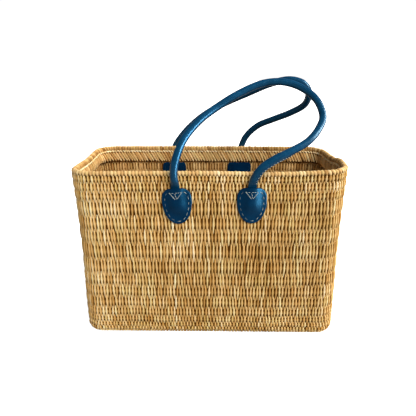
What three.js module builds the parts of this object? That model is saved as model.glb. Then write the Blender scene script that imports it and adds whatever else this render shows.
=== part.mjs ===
// Woven market tote: an open rush basket with a folded-over rim border, two rolled leather handles,
// and at each handle end a leather tab sewn outside the wall and a backing patch sewn inside it.
// Millimetres, +Z up, +X along the wide front, -Y out of the front. The origin is the middle of the
// flat underside, on the floor.
import * as THREE from "three";

// Driving sizes
const RIM_HEIGHT = 302; // top of the rim border above the floor
const WALL = 6; // woven wall, two layers of rush
const FLOOR = 7; // woven base
const RIB = 1.1; // how far a row of rush stands out between its pinched ends
const BASE_EDGE = 12; // radius where the base turns up into the walls
const FLOOR_EDGE = 8; // the same turn on the inside
const TIGHTEST_CORNER = 6; // a corner's radius in plan, however far inside it is
const FIT = 0.35; // gap between pieces that lie against each other

// The wall's outer form at five heights: plan size, corner radius, and how far the wide walls belly out.
const BODY_SHAPE = [
  { z: 0, width: 447, depth: 180, corner: 32, belly: 0 },
  { z: 75, width: 450, depth: 184, corner: 35, belly: 2 },
  { z: 150, width: 450, depth: 190.5, corner: 38, belly: 3 },
  { z: 225, width: 454, depth: 198, corner: 40, belly: 2 },
  { z: RIM_HEIGHT, width: 462, depth: 205, corner: 42, belly: 0 },
];

// The rim isn't quite level: how far it is lifted, going round from the right-hand end.
const RIM_LIFT = [
  { place: "right", turn: 0, lift: 2.8 },
  { place: "behind the right end's middle", turn: 28, lift: 1.4 },
  { place: "back right", turn: 45, lift: 3 },
  { place: "back", turn: 90, lift: 4 },
  { place: "back left", turn: 135, lift: 4.5 },
  { place: "left", turn: 180, lift: -0.5 },
  { place: "front left", turn: 225, lift: 1 },
  { place: "front", turn: 266, lift: 1.7 },
  { place: "right of the front handle", turn: 298, lift: 0.2 },
  { place: "front right", turn: 317, lift: 4.3 },
  { place: "ahead of the right end's middle", turn: 338, lift: 8.8 },
];

// Heights of the rows of weave from the base edge up: fine at the base and the rim, long between.
const BASE_ROW = 7;
const WEAVE_ROWS = [6.5, 9, 12.5, 17.5, 21, 22, 23, 28, 29.5, 24, 25, 25.5, 17, 15, 12.5];
const WALL_TOP = WEAVE_ROWS.reduce((sum, height) => sum + height, BASE_ROW);
const EDGE_HEIGHT = 2.5; // of the loop that rounds the base's edge
const INSIDE_HEIGHTS = [262, 200, 140, 80]; // of the loops that carry the wall's form on the inside
const FLOOR_EDGE_SHARES = [0.35, 0]; // of the floor edge's radius, for the loops that round it

// Section of the rim border: inward from the wall's outer face, and up from the rim's top.
// It caps the wall and hangs down inside as a flat band.
const BORDER_DROP = 31;
const BORDER_BAND = 4.4;
const BAND_OUT = WALL + FIT;
const BAND_IN = BAND_OUT + BORDER_BAND;
const CAP_FOOT = WALL_TOP - RIM_HEIGHT + FIT;
const BORDER_SECTION = [
  { inward: 0, up: CAP_FOOT },
  { inward: BAND_OUT, up: CAP_FOOT },
  { inward: BAND_OUT, up: -BORDER_DROP },
  { inward: BAND_OUT + 2.4, up: -BORDER_DROP - 1 },
  { inward: BAND_IN, up: -BORDER_DROP + 1.5 },
  { inward: BAND_IN, up: -5 },
  { inward: BAND_IN - 1.6, up: -1.6 },
  { inward: BAND_IN / 2, up: 0 },
  { inward: 1.6, up: -1.4 },
  { inward: -0.4, up: -4 },
];

// Leather tabs and patches: egg-shaped, widest above the middle, with a flat top that is short on a tab
// and wide on a patch.
const TAB_WIDTH = 48;
const TAB_HEIGHT = 62;
const TAB_MIDDLE = 0.46; // share of the height, from the top; a tab is tilted about it
const TAB_WIDEST = 0.37; // share of the height, from the top
// The curves from the widest place to the top and to the bottom, each (1 - t ^ square) ^ round, with
// t the share of the way, up to reach.
const TAB_SHOULDER = { reach: 0.93, square: 3.2, round: 0.5 };
const PATCH_SHOULDER = { reach: 0.9, square: 6, round: 0.25 };
const TAB_BOTTOM = { reach: 1, square: 2.1, round: 0.5 };
const TAB_THICK = 2.2;
const TAB_DOME = 5.4; // how far the tab rises over the handle's flat end
const DOME_HALF_WIDTH = 11.5;
const DOME_LENGTH = 50; // from the tab's top to where it lies on the wall again
const PATCH_THICK = 2;
const TABS = [
  { name: "front_left", face: -1, x: -50.5, tilt: 4.2, top: 277, patchTop: 269.5 },
  { name: "front_right", face: -1, x: 69.7, tilt: 0, top: 278.3, patchTop: 269.5 },
  { name: "back_left", face: 1, x: -74, tilt: -1, top: 277, patchTop: 271.5 },
  { name: "back_right", face: 1, x: 60, tilt: 1, top: 277, patchTop: 271.5 },
];

// Rolled handles: round, with a flat tongue at each end under its tab.
const HANDLE_RADIUS = 6.3;
const TONGUE_HALF_WIDTH = 8;
const TONGUE_HALF_THICK = 2;
const TONGUE_LENGTH = 28;
const TONGUE_GAP = 0.45; // between the tongue and the wall
const ROLL_LENGTH = 18; // over which the flat tongue closes up into the round roll
const HANDLE_SIDES = 12;
const HANDLE_STEPS = 52;

// The free stretch of each handle, from its left tab to its right tab. Both flop over to the right
// and lean together over the mouth of the basket.
const HANDLE_ROUTES = {
  front: [
    { x: -53.4, y: -107.6, z: 288 },
    { x: -54, y: -112, z: 304 },
    { x: -51, y: -111, z: 323 },
    { x: -39, y: -97, z: 353 },
    { x: -14, y: -74, z: 381 },
    { x: 19, y: -51, z: 403 },
    { x: 54, y: -32, z: 422 },
    { x: 92, y: -16, z: 436 },
    { x: 127, y: -9, z: 438 },
    { x: 159, y: -11, z: 428 },
    { x: 183, y: -22, z: 408 },
    { x: 191.5, y: -36, z: 382 },
    { x: 181, y: -53, z: 363 },
    { x: 160, y: -76, z: 347 },
    { x: 129, y: -98, z: 335 },
    { x: 102.5, y: -110, z: 325 },
    { x: 83, y: -113.6, z: 312 },
    { x: 71.8, y: -108.8, z: 293 },
  ],
  back: [
    { x: -76, y: 107.6, z: 288 },
    { x: -73, y: 111, z: 303 },
    { x: -59, y: 104, z: 325 },
    { x: -33, y: 90, z: 353.5 },
    { x: -7, y: 73.5, z: 375 },
    { x: 26, y: 55, z: 395 },
    { x: 69, y: 33, z: 416 },
    { x: 111, y: 14, z: 435 },
    { x: 142, y: 7, z: 441 },
    { x: 166, y: 10, z: 434 },
    { x: 179, y: 24, z: 417 },
    { x: 177, y: 43, z: 395 },
    { x: 155, y: 65, z: 377 },
    { x: 127, y: 82, z: 363 },
    { x: 96, y: 98, z: 347 },
    { x: 74, y: 107, z: 324 },
    { x: 65, y: 111, z: 303 },
    { x: 62, y: 107.6, z: 289 },
  ],
};

const RUSH = new THREE.MeshStandardMaterial({ color: 0xc79a55, roughness: 0.75, metalness: 0 });
const BORDER_RUSH = new THREE.MeshStandardMaterial({ color: 0xcba562, roughness: 0.75, metalness: 0 });
const ROLLED_LEATHER = new THREE.MeshStandardMaterial({ color: 0x17507f, roughness: 0.38, metalness: 0 });
const FLAT_LEATHER = new THREE.MeshStandardMaterial({ color: 0x0e3f6b, roughness: 0.45, metalness: 0 });

// Helpers

const smooth = (from, to, value) => THREE.MathUtils.smoothstep(value, from, to);

// Reads one column of a table at a height between its rows, on a smooth curve through them.
function column(rows, name, z) {
  const last = rows.length - 1;
  let i = rows.findIndex((row) => row.z > z) - 1;
  if (i < 0) i = z <= rows[0].z ? 0 : last - 1;
  const slope = (k) => {
    const a = rows[Math.max(k - 1, 0)];
    const b = rows[Math.min(k + 1, last)];
    return (b[name] - a[name]) / (b.z - a.z);
  };
  const [low, high] = [rows[i], rows[i + 1]];
  const gap = high.z - low.z;
  const t = (z - low.z) / gap;
  const rise = high[name] - low[name];
  const [s0, s1] = [slope(i) * gap, slope(i + 1) * gap];
  return low[name] + t * (s0 + t * (3 * rise - 2 * s0 - s1 + t * (s0 + s1 - 2 * rise)));
}

// How far the rim is lifted in the direction of (x, y), scaled so that a corner is at 45 degrees.
function rimLift(x, y, width, depth) {
  const turn = (THREE.MathUtils.radToDeg(Math.atan2(y / depth, x / width)) + 360) % 360;
  const i = RIM_LIFT.findLastIndex((row) => row.turn <= turn);
  const [start, end] = [RIM_LIFT[i], RIM_LIFT[i + 1] ?? { ...RIM_LIFT[0], turn: 360 }];
  return THREE.MathUtils.lerp(start.lift, end.lift, smooth(start.turn, end.turn, turn));
}

// One closed loop of the basket at a height, going round from the right-hand wall: straight walls
// that belly out, joined by corner arcs. inset moves it inward. The rim's lift fades down the wall.
const CORNER_STEPS = 5;
const WIDE_STEPS = 8;
const NARROW_STEPS = 4;
function basketLoop(z, inset) {
  const full = (name) => column(BODY_SHAPE, name, z);
  const [width, depth, belly] = [full("width"), full("depth"), full("belly")];
  const corner = Math.max(full("corner") - inset, TIGHTEST_CORNER);
  const [halfX, halfY] = [width / 2 - inset, depth / 2 - inset];
  const plan = [];
  for (let quarter = 0; quarter < 4; quarter++) {
    const sideX = quarter === 0 || quarter === 3 ? 1 : -1;
    const sideY = quarter < 2 ? 1 : -1;
    const centre = new THREE.Vector2(sideX * (halfX - corner), sideY * (halfY - corner));
    for (let k = 0; k <= CORNER_STEPS; k++) {
      const angle = ((quarter + k / CORNER_STEPS) * Math.PI) / 2;
      plan.push(new THREE.Vector2(Math.cos(angle), Math.sin(angle)).multiplyScalar(corner).add(centre));
    }
    const steps = quarter % 2 === 0 ? WIDE_STEPS : NARROW_STEPS;
    const straight = 2 * (quarter % 2 === 0 ? halfX - corner : halfY - corner);
    const along = new THREE.Vector2(...[[-1, 0], [0, -1], [1, 0], [0, 1]][quarter]);
    const start = plan[plan.length - 1];
    for (let k = 1; k < steps; k++) plan.push(start.clone().addScaledVector(along, (straight * k) / steps));
  }
  const raise = Math.pow(z / RIM_HEIGHT, 3);
  return plan.map(({ x, y }) => {
    const bow = belly * Math.max(0, 1 - (x / halfX) ** 2) * (y / halfY);
    return new THREE.Vector3(x, y + bow, z + raise * rimLift(x, y, width, depth));
  });
}

// Half the basket's depth at the outer face of a wide wall.
function wallFace(x, z) {
  const share = (2 * x) / column(BODY_SHAPE, "width", z);
  return column(BODY_SHAPE, "depth", z) / 2 + column(BODY_SHAPE, "belly", z) * (1 - share * share);
}

// A closed skin over loops of equal length. Open loops at the ends are capped with a fan about their
// middle, and a ring of loops is joined end to end. The loops turn anticlockwise, seen from ahead.
function skin(loops, { ring = false } = {}) {
  const count = loops[0].length;
  const positions = loops.flat().flatMap((p) => [p.x, p.y, p.z]);
  const index = [];
  const bands = ring ? loops.length : loops.length - 1;
  for (let i = 0; i < bands; i++) {
    const [here, ahead] = [i * count, ((i + 1) % loops.length) * count];
    for (let k = 0; k < count; k++) {
      const next = (k + 1) % count;
      index.push(here + k, here + next, ahead + next, here + k, ahead + next, ahead + k);
    }
  }
  if (!ring) {
    for (const [loop, forward] of [[0, false], [loops.length - 1, true]]) {
      const middle = loops[loop].reduce((sum, p) => sum.add(p), new THREE.Vector3()).divideScalar(count);
      const hub = positions.length / 3;
      positions.push(middle.x, middle.y, middle.z);
      for (let k = 0; k < count; k++) {
        const [a, b] = [loop * count + k, loop * count + ((k + 1) % count)];
        index.push(hub, ...(forward ? [a, b] : [b, a]));
      }
    }
  }
  const geometry = new THREE.BufferGeometry();
  geometry.setAttribute("position", new THREE.Float32BufferAttribute(positions, 3));
  geometry.setIndex(index);
  geometry.computeVertexNormals();
  return geometry;
}

function piece(name, geometry, material) {
  const mesh = new THREE.Mesh(geometry, material);
  mesh.name = name;
  return mesh;
}

// Basket

// How far a quarter-round edge has turned in at a height above its start.
function edgeInset(radius, height) {
  const left = Math.max(radius - height, 0);
  return radius - Math.sqrt(radius * radius - left * left);
}

// Walls and base in one skin: up the outside row by row, over the top, down the inside to the floor.
function basketBody() {
  const outside = [0, EDGE_HEIGHT].map((z) => basketLoop(z, edgeInset(BASE_EDGE, z)));
  let foot = BASE_ROW;
  outside.push(basketLoop(foot, edgeInset(BASE_EDGE, foot) + RIB));
  for (const height of WEAVE_ROWS) {
    const middle = foot + height / 2;
    outside.push(basketLoop(middle, edgeInset(BASE_EDGE, middle)));
    foot += height;
    outside.push(basketLoop(foot, edgeInset(BASE_EDGE, foot) + RIB));
  }
  const inside = [WALL_TOP, ...INSIDE_HEIGHTS, FLOOR + FLOOR_EDGE].map((z) => basketLoop(z, WALL));
  for (const share of FLOOR_EDGE_SHARES) {
    const height = FLOOR_EDGE * share;
    inside.push(basketLoop(FLOOR + height, WALL + edgeInset(FLOOR_EDGE, height)));
  }
  return piece("basket_body", skin([...outside, ...inside]), RUSH);
}

// The border is a ring: its section is carried round as one loop for each of the section's points.
function rimBorder() {
  const loops = BORDER_SECTION.map(({ inward, up }) => basketLoop(RIM_HEIGHT + up, inward));
  return piece("rim_border", skin(loops.reverse(), { ring: true }), BORDER_RUSH);
}

// Leather tabs and patches

// Half the tab's width, as a share, at a share of its height down from the top.
function tabHalfWidth(down, shoulder) {
  const above = down < TAB_WIDEST;
  const { reach, square, round } = above ? shoulder : TAB_BOTTOM;
  const share = Math.abs(down - TAB_WIDEST) / (above ? TAB_WIDEST : 1 - TAB_WIDEST);
  return Math.pow(1 - Math.pow(reach * Math.min(share, 1), square), round);
}

// The egg outline in millimetres from the middle of the flat top, down positive, going down one side
// and up the other.
const TAB_SIDE_STEPS = 11;
const TAB_TOP_STEPS = 4;
function tabOutline(shoulder) {
  const side = [];
  for (let k = 0; k <= TAB_SIDE_STEPS; k++) {
    const down = (1 - Math.cos((Math.PI * k) / TAB_SIDE_STEPS)) / 2;
    side.push({ x: (TAB_WIDTH / 2) * tabHalfWidth(down, shoulder), down: TAB_HEIGHT * down });
  }
  const otherSide = side.slice(0, -1).reverse().map(({ x, down }) => ({ x: -x, down }));
  const top = [];
  for (let k = 1; k < TAB_TOP_STEPS; k++) {
    top.push({ x: side[0].x * ((2 * k) / TAB_TOP_STEPS - 1), down: 0 });
  }
  return [...side, ...otherSide, ...top];
}

// How far the tab stands off the wall over the handle's flat end.
function tabDome(x, down) {
  const acrossShare = Math.exp(-Math.pow(Math.abs(x) / DOME_HALF_WIDTH, 4));
  return TAB_DOME * acrossShare * (1 - smooth(TONGUE_LENGTH, DOME_LENGTH, down));
}

// A plate of tab outline laid along a wide wall, made of rings at shares of the way from its middle
// to its edge. off(x, down) is how far its inner face stands out from the wall's outer face.
const TAB_RINGS = [0.35, 0.68, 0.88, 1];
const PATCH_RINGS = [1];
function tabPlate({ face, x: place, tilt }, { top, thick, shoulder, rings, off }) {
  const middle = TAB_HEIGHT * TAB_MIDDLE;
  const turn = THREE.MathUtils.degToRad(tilt);
  const onWall = ({ x, down }, extra) => {
    const [dx, dz] = [x, middle - down];
    const px = place + dx * Math.cos(turn) - dz * Math.sin(turn);
    const pz = top - middle + dx * Math.sin(turn) + dz * Math.cos(turn);
    return new THREE.Vector3(px, face * (wallFace(px, pz) + off(x, down) + extra), pz);
  };
  const outline = tabOutline(shoulder);
  const ringAt = (share, extra) =>
    outline.map(({ x, down }) => onWall({ x: x * share, down: middle + (down - middle) * share }, extra));
  const inner = rings.map((share) => ringAt(share, 0));
  const outer = rings.map((share) => ringAt(share, thick));
  const loops = [...inner, ...outer.reverse()];
  return skin(face > 0 ? loops : loops.map((loop) => loop.reverse()));
}

function leatherTab(tab) {
  const off = (x, down) => FIT + tabDome(x, down);
  const sizes = { top: tab.top, thick: TAB_THICK, shoulder: TAB_SHOULDER, rings: TAB_RINGS };
  const plate = tabPlate(tab, { ...sizes, off });
  return piece(`tab_${tab.name}`, plate, FLAT_LEATHER);
}

function backingPatch(tab) {
  const off = () => -WALL - FIT - PATCH_THICK;
  const upright = { ...tab, tilt: 0 };
  const sizes = { top: tab.patchTop, thick: PATCH_THICK, shoulder: PATCH_SHOULDER, rings: PATCH_RINGS };
  const plate = tabPlate(upright, { ...sizes, off });
  return piece(`patch_${tab.name}`, plate, FLAT_LEATHER);
}

// Handles

// The handle's line from one tongue's end to the other's: under a tab and tilted with it, round the free
// stretch, and down under the next tab.
function handleCurve(side) {
  const [left, right] = TABS.filter(({ name }) => name.startsWith(side));
  const tongue = (tab) =>
    [1, 0.5, 0].map((share) => {
      const z = tab.top - share * TONGUE_LENGTH;
      const x = tab.x - (z - tab.top + TAB_HEIGHT * TAB_MIDDLE) * Math.tan(THREE.MathUtils.degToRad(tab.tilt));
      return new THREE.Vector3(x, tab.face * (wallFace(x, z) + TONGUE_GAP + TONGUE_HALF_THICK), z);
    });
  const free = HANDLE_ROUTES[side].map(({ x, y, z }) => new THREE.Vector3(x, y, z));
  const points = [...tongue(left), ...free, ...tongue(right).reverse()];
  return new THREE.CatmullRomCurve3(points, false, "centripetal");
}

// A round roll along the curve that flattens into a tongue at each end. The section's flat side
// faces along Y all the way, so that both tongues lie along the wall.
function rolledHandle(side) {
  const curve = handleCurve(side);
  const length = curve.getLength();
  const face = new THREE.Vector3(0, -1, 0);
  const loops = [];
  for (let step = 0; step <= HANDLE_STEPS; step++) {
    const share = step / HANDLE_STEPS;
    const centre = curve.getPointAt(share);
    const tangent = curve.getTangentAt(share);
    const fromEnd = Math.min(share, 1 - share) * length;
    const round = smooth(TONGUE_LENGTH, TONGUE_LENGTH + ROLL_LENGTH, fromEnd);
    const halfWidth = THREE.MathUtils.lerp(TONGUE_HALF_WIDTH, HANDLE_RADIUS, round);
    const halfThick = THREE.MathUtils.lerp(TONGUE_HALF_THICK, HANDLE_RADIUS, round);
    const out = face.clone().addScaledVector(tangent, -face.dot(tangent)).normalize();
    const across = new THREE.Vector3().crossVectors(tangent, out);
    const loop = [];
    for (let k = 0; k < HANDLE_SIDES; k++) {
      const angle = (2 * Math.PI * k) / HANDLE_SIDES;
      const p = centre.clone().addScaledVector(across, halfWidth * Math.cos(angle));
      loop.push(p.addScaledVector(out, halfThick * Math.sin(angle)));
    }
    loops.push(loop.reverse());
  }
  return piece(`handle_${side}`, skin(loops), ROLLED_LEATHER);
}

const tote = new THREE.Group();
tote.add(basketBody(), rimBorder());
for (const side of Object.keys(HANDLE_ROUTES)) tote.add(rolledHandle(side));
for (const tab of TABS) tote.add(leatherTab(tab), backingPatch(tab));

export default tote;
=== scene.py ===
"""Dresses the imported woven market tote: rush weave, plaited rim, rolled leather handles and sewn tabs.

Sizes are in millimetres until a mesh is made. Meshes are in metres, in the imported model's own frame: +X along
the wide front, -Y out of the front, +Z up, with the origin under the middle of the base.
"""

from __future__ import annotations

import logging
import math
from collections.abc import Sequence
from dataclasses import dataclass, field
from enum import Enum

import bpy
import numpy as np
from bpy.types import Material, Mesh, Node, NodeSocket, NodeTree, Object
from mathutils import Matrix, Vector

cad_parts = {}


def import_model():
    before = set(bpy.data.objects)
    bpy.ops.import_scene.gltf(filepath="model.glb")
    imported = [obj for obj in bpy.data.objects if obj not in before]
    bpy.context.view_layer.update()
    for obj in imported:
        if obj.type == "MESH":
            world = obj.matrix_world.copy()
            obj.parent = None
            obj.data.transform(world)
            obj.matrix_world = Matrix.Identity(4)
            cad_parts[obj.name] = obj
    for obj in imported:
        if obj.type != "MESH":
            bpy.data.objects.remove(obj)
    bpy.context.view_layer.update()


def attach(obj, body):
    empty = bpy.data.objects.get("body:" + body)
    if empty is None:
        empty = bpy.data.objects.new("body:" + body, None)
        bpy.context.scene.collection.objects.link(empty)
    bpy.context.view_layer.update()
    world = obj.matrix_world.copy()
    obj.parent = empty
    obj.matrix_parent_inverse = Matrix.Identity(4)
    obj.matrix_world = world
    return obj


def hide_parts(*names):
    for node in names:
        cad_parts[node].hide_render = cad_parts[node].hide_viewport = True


MM = 0.001
BODY = "root"
UP = Vector((0, 0, 1))
# How many points go round each loop of the shaded layers under the strands.
LOOP_POINTS = 160

Colour = tuple[float, float, float]
Point = tuple[float, float, float]
# The points of a line of stitches, each with the way that the surface faces there.
SewnLine = list[tuple[Vector, Vector]]

log = logging.getLogger("tote")


class Slot(Enum):
    """The record's material slots."""

    WEAVE = "rush_weave"
    BORDER = "rush_border"
    HANDLE = "rolled_leather"
    TAB = "tab_leather"


class Wall(Enum):
    """A wide wall of the basket, by the way it faces along Y."""

    FRONT = -1
    BACK = 1


class Side(Enum):
    """A face of the woven wall."""

    OUTSIDE = 0
    INSIDE = 1


# Curves


def ease(t: float) -> float:
    """Returns a smooth step from 0 to 1, level below t = 0 and above t = 1."""
    t = min(max(t, 0.0), 1.0)
    return t * t * (3 - 2 * t)


def glide(
    start: float | np.ndarray,
    rise: float | np.ndarray,
    leaving: float | np.ndarray,
    arriving: float | np.ndarray,
    t: float,
) -> float | np.ndarray:
    """Reads a cubic curve between two places.

    Args:
        start: Where it starts.
        rise: How far its end is from its start.
        leaving: Its slope at its start.
        arriving: Its slope at its end.
        t: The share of the way along it.

    Returns:
        The place on it.
    """
    bend = 3 * rise - 2 * leaving - arriving + t * (leaving + arriving - 2 * rise)
    return start + t * (leaving + t * bend)


# Node trees


class Graph:
    """Adds nodes to a tree and links them, so that each node is one call."""

    def __init__(self, tree: NodeTree) -> None:
        """Keeps the tree that nodes are added to."""
        self.tree = tree

    def add(self, kind: str, settings: dict[str, object] | None = None, **inputs: object) -> Node:
        """Adds one node.

        Args:
            kind: The node's type.
            settings: The node's own properties, set before its inputs.
            inputs: A value or an output socket for each named input, with _ for a space.

        Returns:
            The new node.
        """
        node = self.tree.nodes.new(kind)
        for name, value in (settings or {}).items():
            setattr(node, name, value)
        for name, value in inputs.items():
            self.feed(self.find(node, name.replace("_", " ")), value)
        return node

    def maths(self, operation: str, *values: object) -> NodeSocket:
        """Adds a Math node.

        Args:
            operation: The node's operation.
            values: Its inputs in order, values or sockets.

        Returns:
            The node's output.
        """
        node = self.add("ShaderNodeMath", {"operation": operation})
        for socket, value in zip(node.inputs, values):
            self.feed(socket, value)
        return node.outputs[0]

    def feed(self, socket: NodeSocket, value: object) -> None:
        """Links an input to a socket, or sets its value.

        Args:
            socket: The input.
            value: An output socket of the same tree, or a plain value.
        """
        if isinstance(value, NodeSocket):
            self.tree.links.new(value, socket)
        else:
            socket.default_value = value

    @staticmethod
    def find(node: Node, name: str) -> NodeSocket:
        """Returns the input in use that has this name."""
        return next(s for s in node.inputs if s.name == name and s.enabled and not s.is_unavailable)

    @staticmethod
    def result(node: Node) -> NodeSocket:
        """Returns the first output in use."""
        return next(s for s in node.outputs if s.enabled and not s.is_unavailable)


class Paint(Graph):
    """The node tree of a new material, with a call for each pattern that the finishes share."""

    def __init__(self, name: str) -> None:
        """Makes the material, with an empty tree.

        Args:
            name: The material's name.
        """
        self.material = bpy.data.materials.new(name)
        self.material.use_nodes = True
        self.material.node_tree.nodes.clear()
        super().__init__(self.material.node_tree)

    def place(self) -> NodeSocket:
        """Returns the place on the piece, in object coordinates."""
        return self.add("ShaderNodeTexCoord").outputs["Object"]

    def attribute(self, name: str) -> NodeSocket:
        """Returns a number that the piece's mesh carries."""
        return self.add("ShaderNodeAttribute", {"attribute_name": name}).outputs["Fac"]

    def noise(self, place: NodeSocket, scale: float, detail: float, roughness: float = 0.5) -> NodeSocket:
        """Returns a cloudy pattern, from 0 to 1 and mostly near 0.5."""
        node = self.add("ShaderNodeTexNoise", Vector=place, Scale=scale, Detail=detail, Roughness=roughness)
        return node.outputs["Fac"]

    def stretched(self, place: NodeSocket, scale: Point) -> NodeSocket:
        """Returns a place scaled along each axis, which stretches a pattern the other way."""
        return self.add("ShaderNodeMapping", Vector=place, Scale=scale).outputs[0]

    def stray(self, value: NodeSocket, amount: float, base: object, middle: float = 0.5) -> NodeSocket:
        """Returns a base, plus an amount for each unit that a value is over its middle."""
        return self.maths("MULTIPLY_ADD", self.maths("SUBTRACT", value, middle), amount, base)

    def fade(self, value: NodeSocket, start: float, end: float) -> NodeSocket:
        """Returns a smooth step, from 0 where a value is at the start to 1 where it is at the end."""
        smooth = {"interpolation_type": "SMOOTHSTEP"}
        return self.add("ShaderNodeMapRange", smooth, Value=value, From_Min=start, From_Max=end).outputs[0]

    def ramp(
        self, factor: NodeSocket, colours: Sequence[Colour], start: float = 0.0, end: float = 1.0
    ) -> NodeSocket:
        """Picks from evenly spaced colours that blend into each other.

        Args:
            factor: What picks the colour.
            colours: The colours in order.
            start: The factor at the first colour.
            end: The factor at the last one.

        Returns:
            The picked colour.
        """
        node = self.add("ShaderNodeValToRGB", Fac=factor)
        stops = node.color_ramp.elements
        stops[0].position = start
        stops[-1].position = end
        last = len(colours) - 1
        for k in range(1, last):
            stops.new(start + (end - start) * k / last)
        for stop, colour in zip(stops, colours):
            stop.color = (*colour, 1.0)
        return node.outputs["Color"]

    def relief(self, height: NodeSocket, strength: float, depth: float) -> NodeSocket:
        """Returns the normal of a surface with a fine relief, of a depth in millimetres."""
        return self.add("ShaderNodeBump", Strength=strength, Distance=depth * MM, Height=height).outputs[0]

    def finish(self, **inputs: object) -> Material:
        """Ends the tree in one shader.

        Args:
            inputs: A value or an output socket for each named input of the shader, with _ for a space.

        Returns:
            The material.
        """
        shader = self.add("ShaderNodeBsdfPrincipled", **inputs)
        self.add("ShaderNodeOutputMaterial", Surface=shader.outputs[0])
        return self.material


# Finishes


@dataclass(frozen=True)
class RushFinish:
    """Split rush: a colour for each strand, lengthwise fibres and a waxy gloss."""

    name: str
    # From the darkest tone to the palest.
    colours: tuple[Colour, ...] = (
        (0.21, 0.090, 0.013),
        (0.41, 0.210, 0.050),
        (0.61, 0.360, 0.115),
        (0.81, 0.565, 0.255),
        (0.98, 0.830, 0.560),
    )
    # Reddish, plain and greenish rush.
    tints: tuple[Colour, ...] = ((1.0, 0.93, 0.82), (1.0, 1.0, 1.0), (0.95, 1.0, 0.9))
    # How much paler a strand is, in tone, and how much more so at its start and at its end, where the ends'
    # shifts are painted light and painted shade.
    shift: float = 0.0
    start_shift: float = 0.0
    end_shift: float = 0.0
    # The shares of its length between which those two grow.
    start_fade: tuple[float, float] = (0.4, 0.05)
    end_fade: tuple[float, float] = (0.5, 0.8)
    # How much paler its crest is than its edges, which is a painted highlight along the crest and painted shade
    # at the edges, and the share of the way in that keeps its tone.
    crest: float = 0.65
    crest_middle: float = 0.6
    # How far tone strays from strand to strand, from patch to patch and from fibre to fibre.
    fleck_stray: float = 0.14
    patch_stray: float = 0.5
    fibre_stray: float = 0.55
    patch_scale: float = 11.0
    fibre_scale: float = 1.6
    fibre_stretch: Point = (7.0, 1.3, 1.0)
    # How far the fibres' pattern moves along and through itself from strand to strand.
    fibre_moves: tuple[float, float] = (37.0, 19.0)
    fibre_relief: float = 0.3
    fibre_depth: float = 0.4
    roughness: float = 0.505
    roughness_stray: float = 0.25
    gloss: float = 0.3
    gloss_tint: Colour = (1.0, 0.9, 0.65)

    def fibres(self, paint: Paint, across: NodeSocket, along: NodeSocket, fleck: NodeSocket) -> NodeSocket:
        """Makes the fibres' pattern, which differs from strand to strand.

        Args:
            paint: The finish's node tree.
            across: The share of the way across a strand.
            along: The share of the way along it.
            fleck: Its own random number.

        Returns:
            The pattern, from 0 to 1.
        """
        moved = paint.maths("MULTIPLY_ADD", fleck, self.fibre_moves[0], along)
        through = paint.maths("MULTIPLY", fleck, self.fibre_moves[1])
        place = paint.add("ShaderNodeCombineXYZ", X=across, Y=moved, Z=through).outputs[0]
        place = paint.stretched(place, self.fibre_stretch)
        return paint.noise(place, self.fibre_scale, detail=4.0, roughness=0.6)

    def material(self) -> Material:
        """Makes the finish from each strand's tone, fleck and UV map.

        Returns:
            The material.
        """
        paint = Paint(self.name)
        fleck = paint.attribute("fleck")
        uv = paint.add("ShaderNodeUVMap", {"uv_map": "strand"}).outputs["UV"]
        parts = paint.add("ShaderNodeSeparateXYZ", Vector=uv).outputs
        across, along = parts["X"], parts["Y"]
        inwards = paint.maths("PINGPONG", paint.maths("MULTIPLY", across, 2.0), 1.0)
        fibre = self.fibres(paint, across, along, fleck)
        patch = paint.noise(paint.place(), self.patch_scale, detail=2.0)
        # A painted highlight along each strand's crest and painted shade at its edges.
        tone = paint.stray(inwards, self.crest, paint.attribute("tone"), self.crest_middle)
        # Painted light and painted shade towards the strand's start and end.
        tone = paint.maths("MULTIPLY_ADD", paint.fade(along, *self.start_fade), self.start_shift, tone)
        tone = paint.maths("MULTIPLY_ADD", paint.fade(along, *self.end_fade), self.end_shift, tone)
        tone = paint.stray(fleck, self.fleck_stray, tone)
        tone = paint.stray(patch, self.patch_stray, tone)
        tone = paint.stray(fibre, self.fibre_stray, tone)
        tinted = paint.add(
            "ShaderNodeMix",
            {"data_type": "RGBA", "blend_type": "MULTIPLY"},
            Factor=1.0,
            A=paint.ramp(paint.maths("ADD", tone, self.shift), self.colours),
            B=paint.ramp(fleck, self.tints),
        )
        return paint.finish(
            Base_Color=paint.result(tinted),
            Roughness=paint.stray(fibre, self.roughness_stray, self.roughness),
            Specular_IOR_Level=self.gloss,
            Specular_Tint=(*self.gloss_tint, 1.0),
            Normal=paint.relief(fibre, self.fibre_relief, self.fibre_depth),
        )


@dataclass(frozen=True)
class PaintedShadeFinish:
    """The inner layer of rush that shows between the strands, painted dark brown as the shade there."""

    name: str
    dark: Colour = (0.045, 0.015, 0.001)
    light: Colour = (0.13, 0.048, 0.005)
    # The pattern's scale along each axis, so that the fibres run up the wall.
    fibres: Point = (420.0, 420.0, 25.0)
    relief: float = 0.4
    depth: float = 0.5
    roughness: float = 0.85
    gloss: float = 0.05

    def material(self) -> Material:
        """Makes the finish, brown fibres that run up the wall.

        Returns:
            The material.
        """
        paint = Paint(self.name)
        fibre = paint.noise(paint.stretched(paint.place(), self.fibres), 1.0, detail=3.0)
        return paint.finish(
            Base_Color=paint.ramp(fibre, (self.dark, self.light)),
            Roughness=self.roughness,
            Specular_IOR_Level=self.gloss,
            Normal=paint.relief(fibre, self.relief, self.depth),
        )


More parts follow.
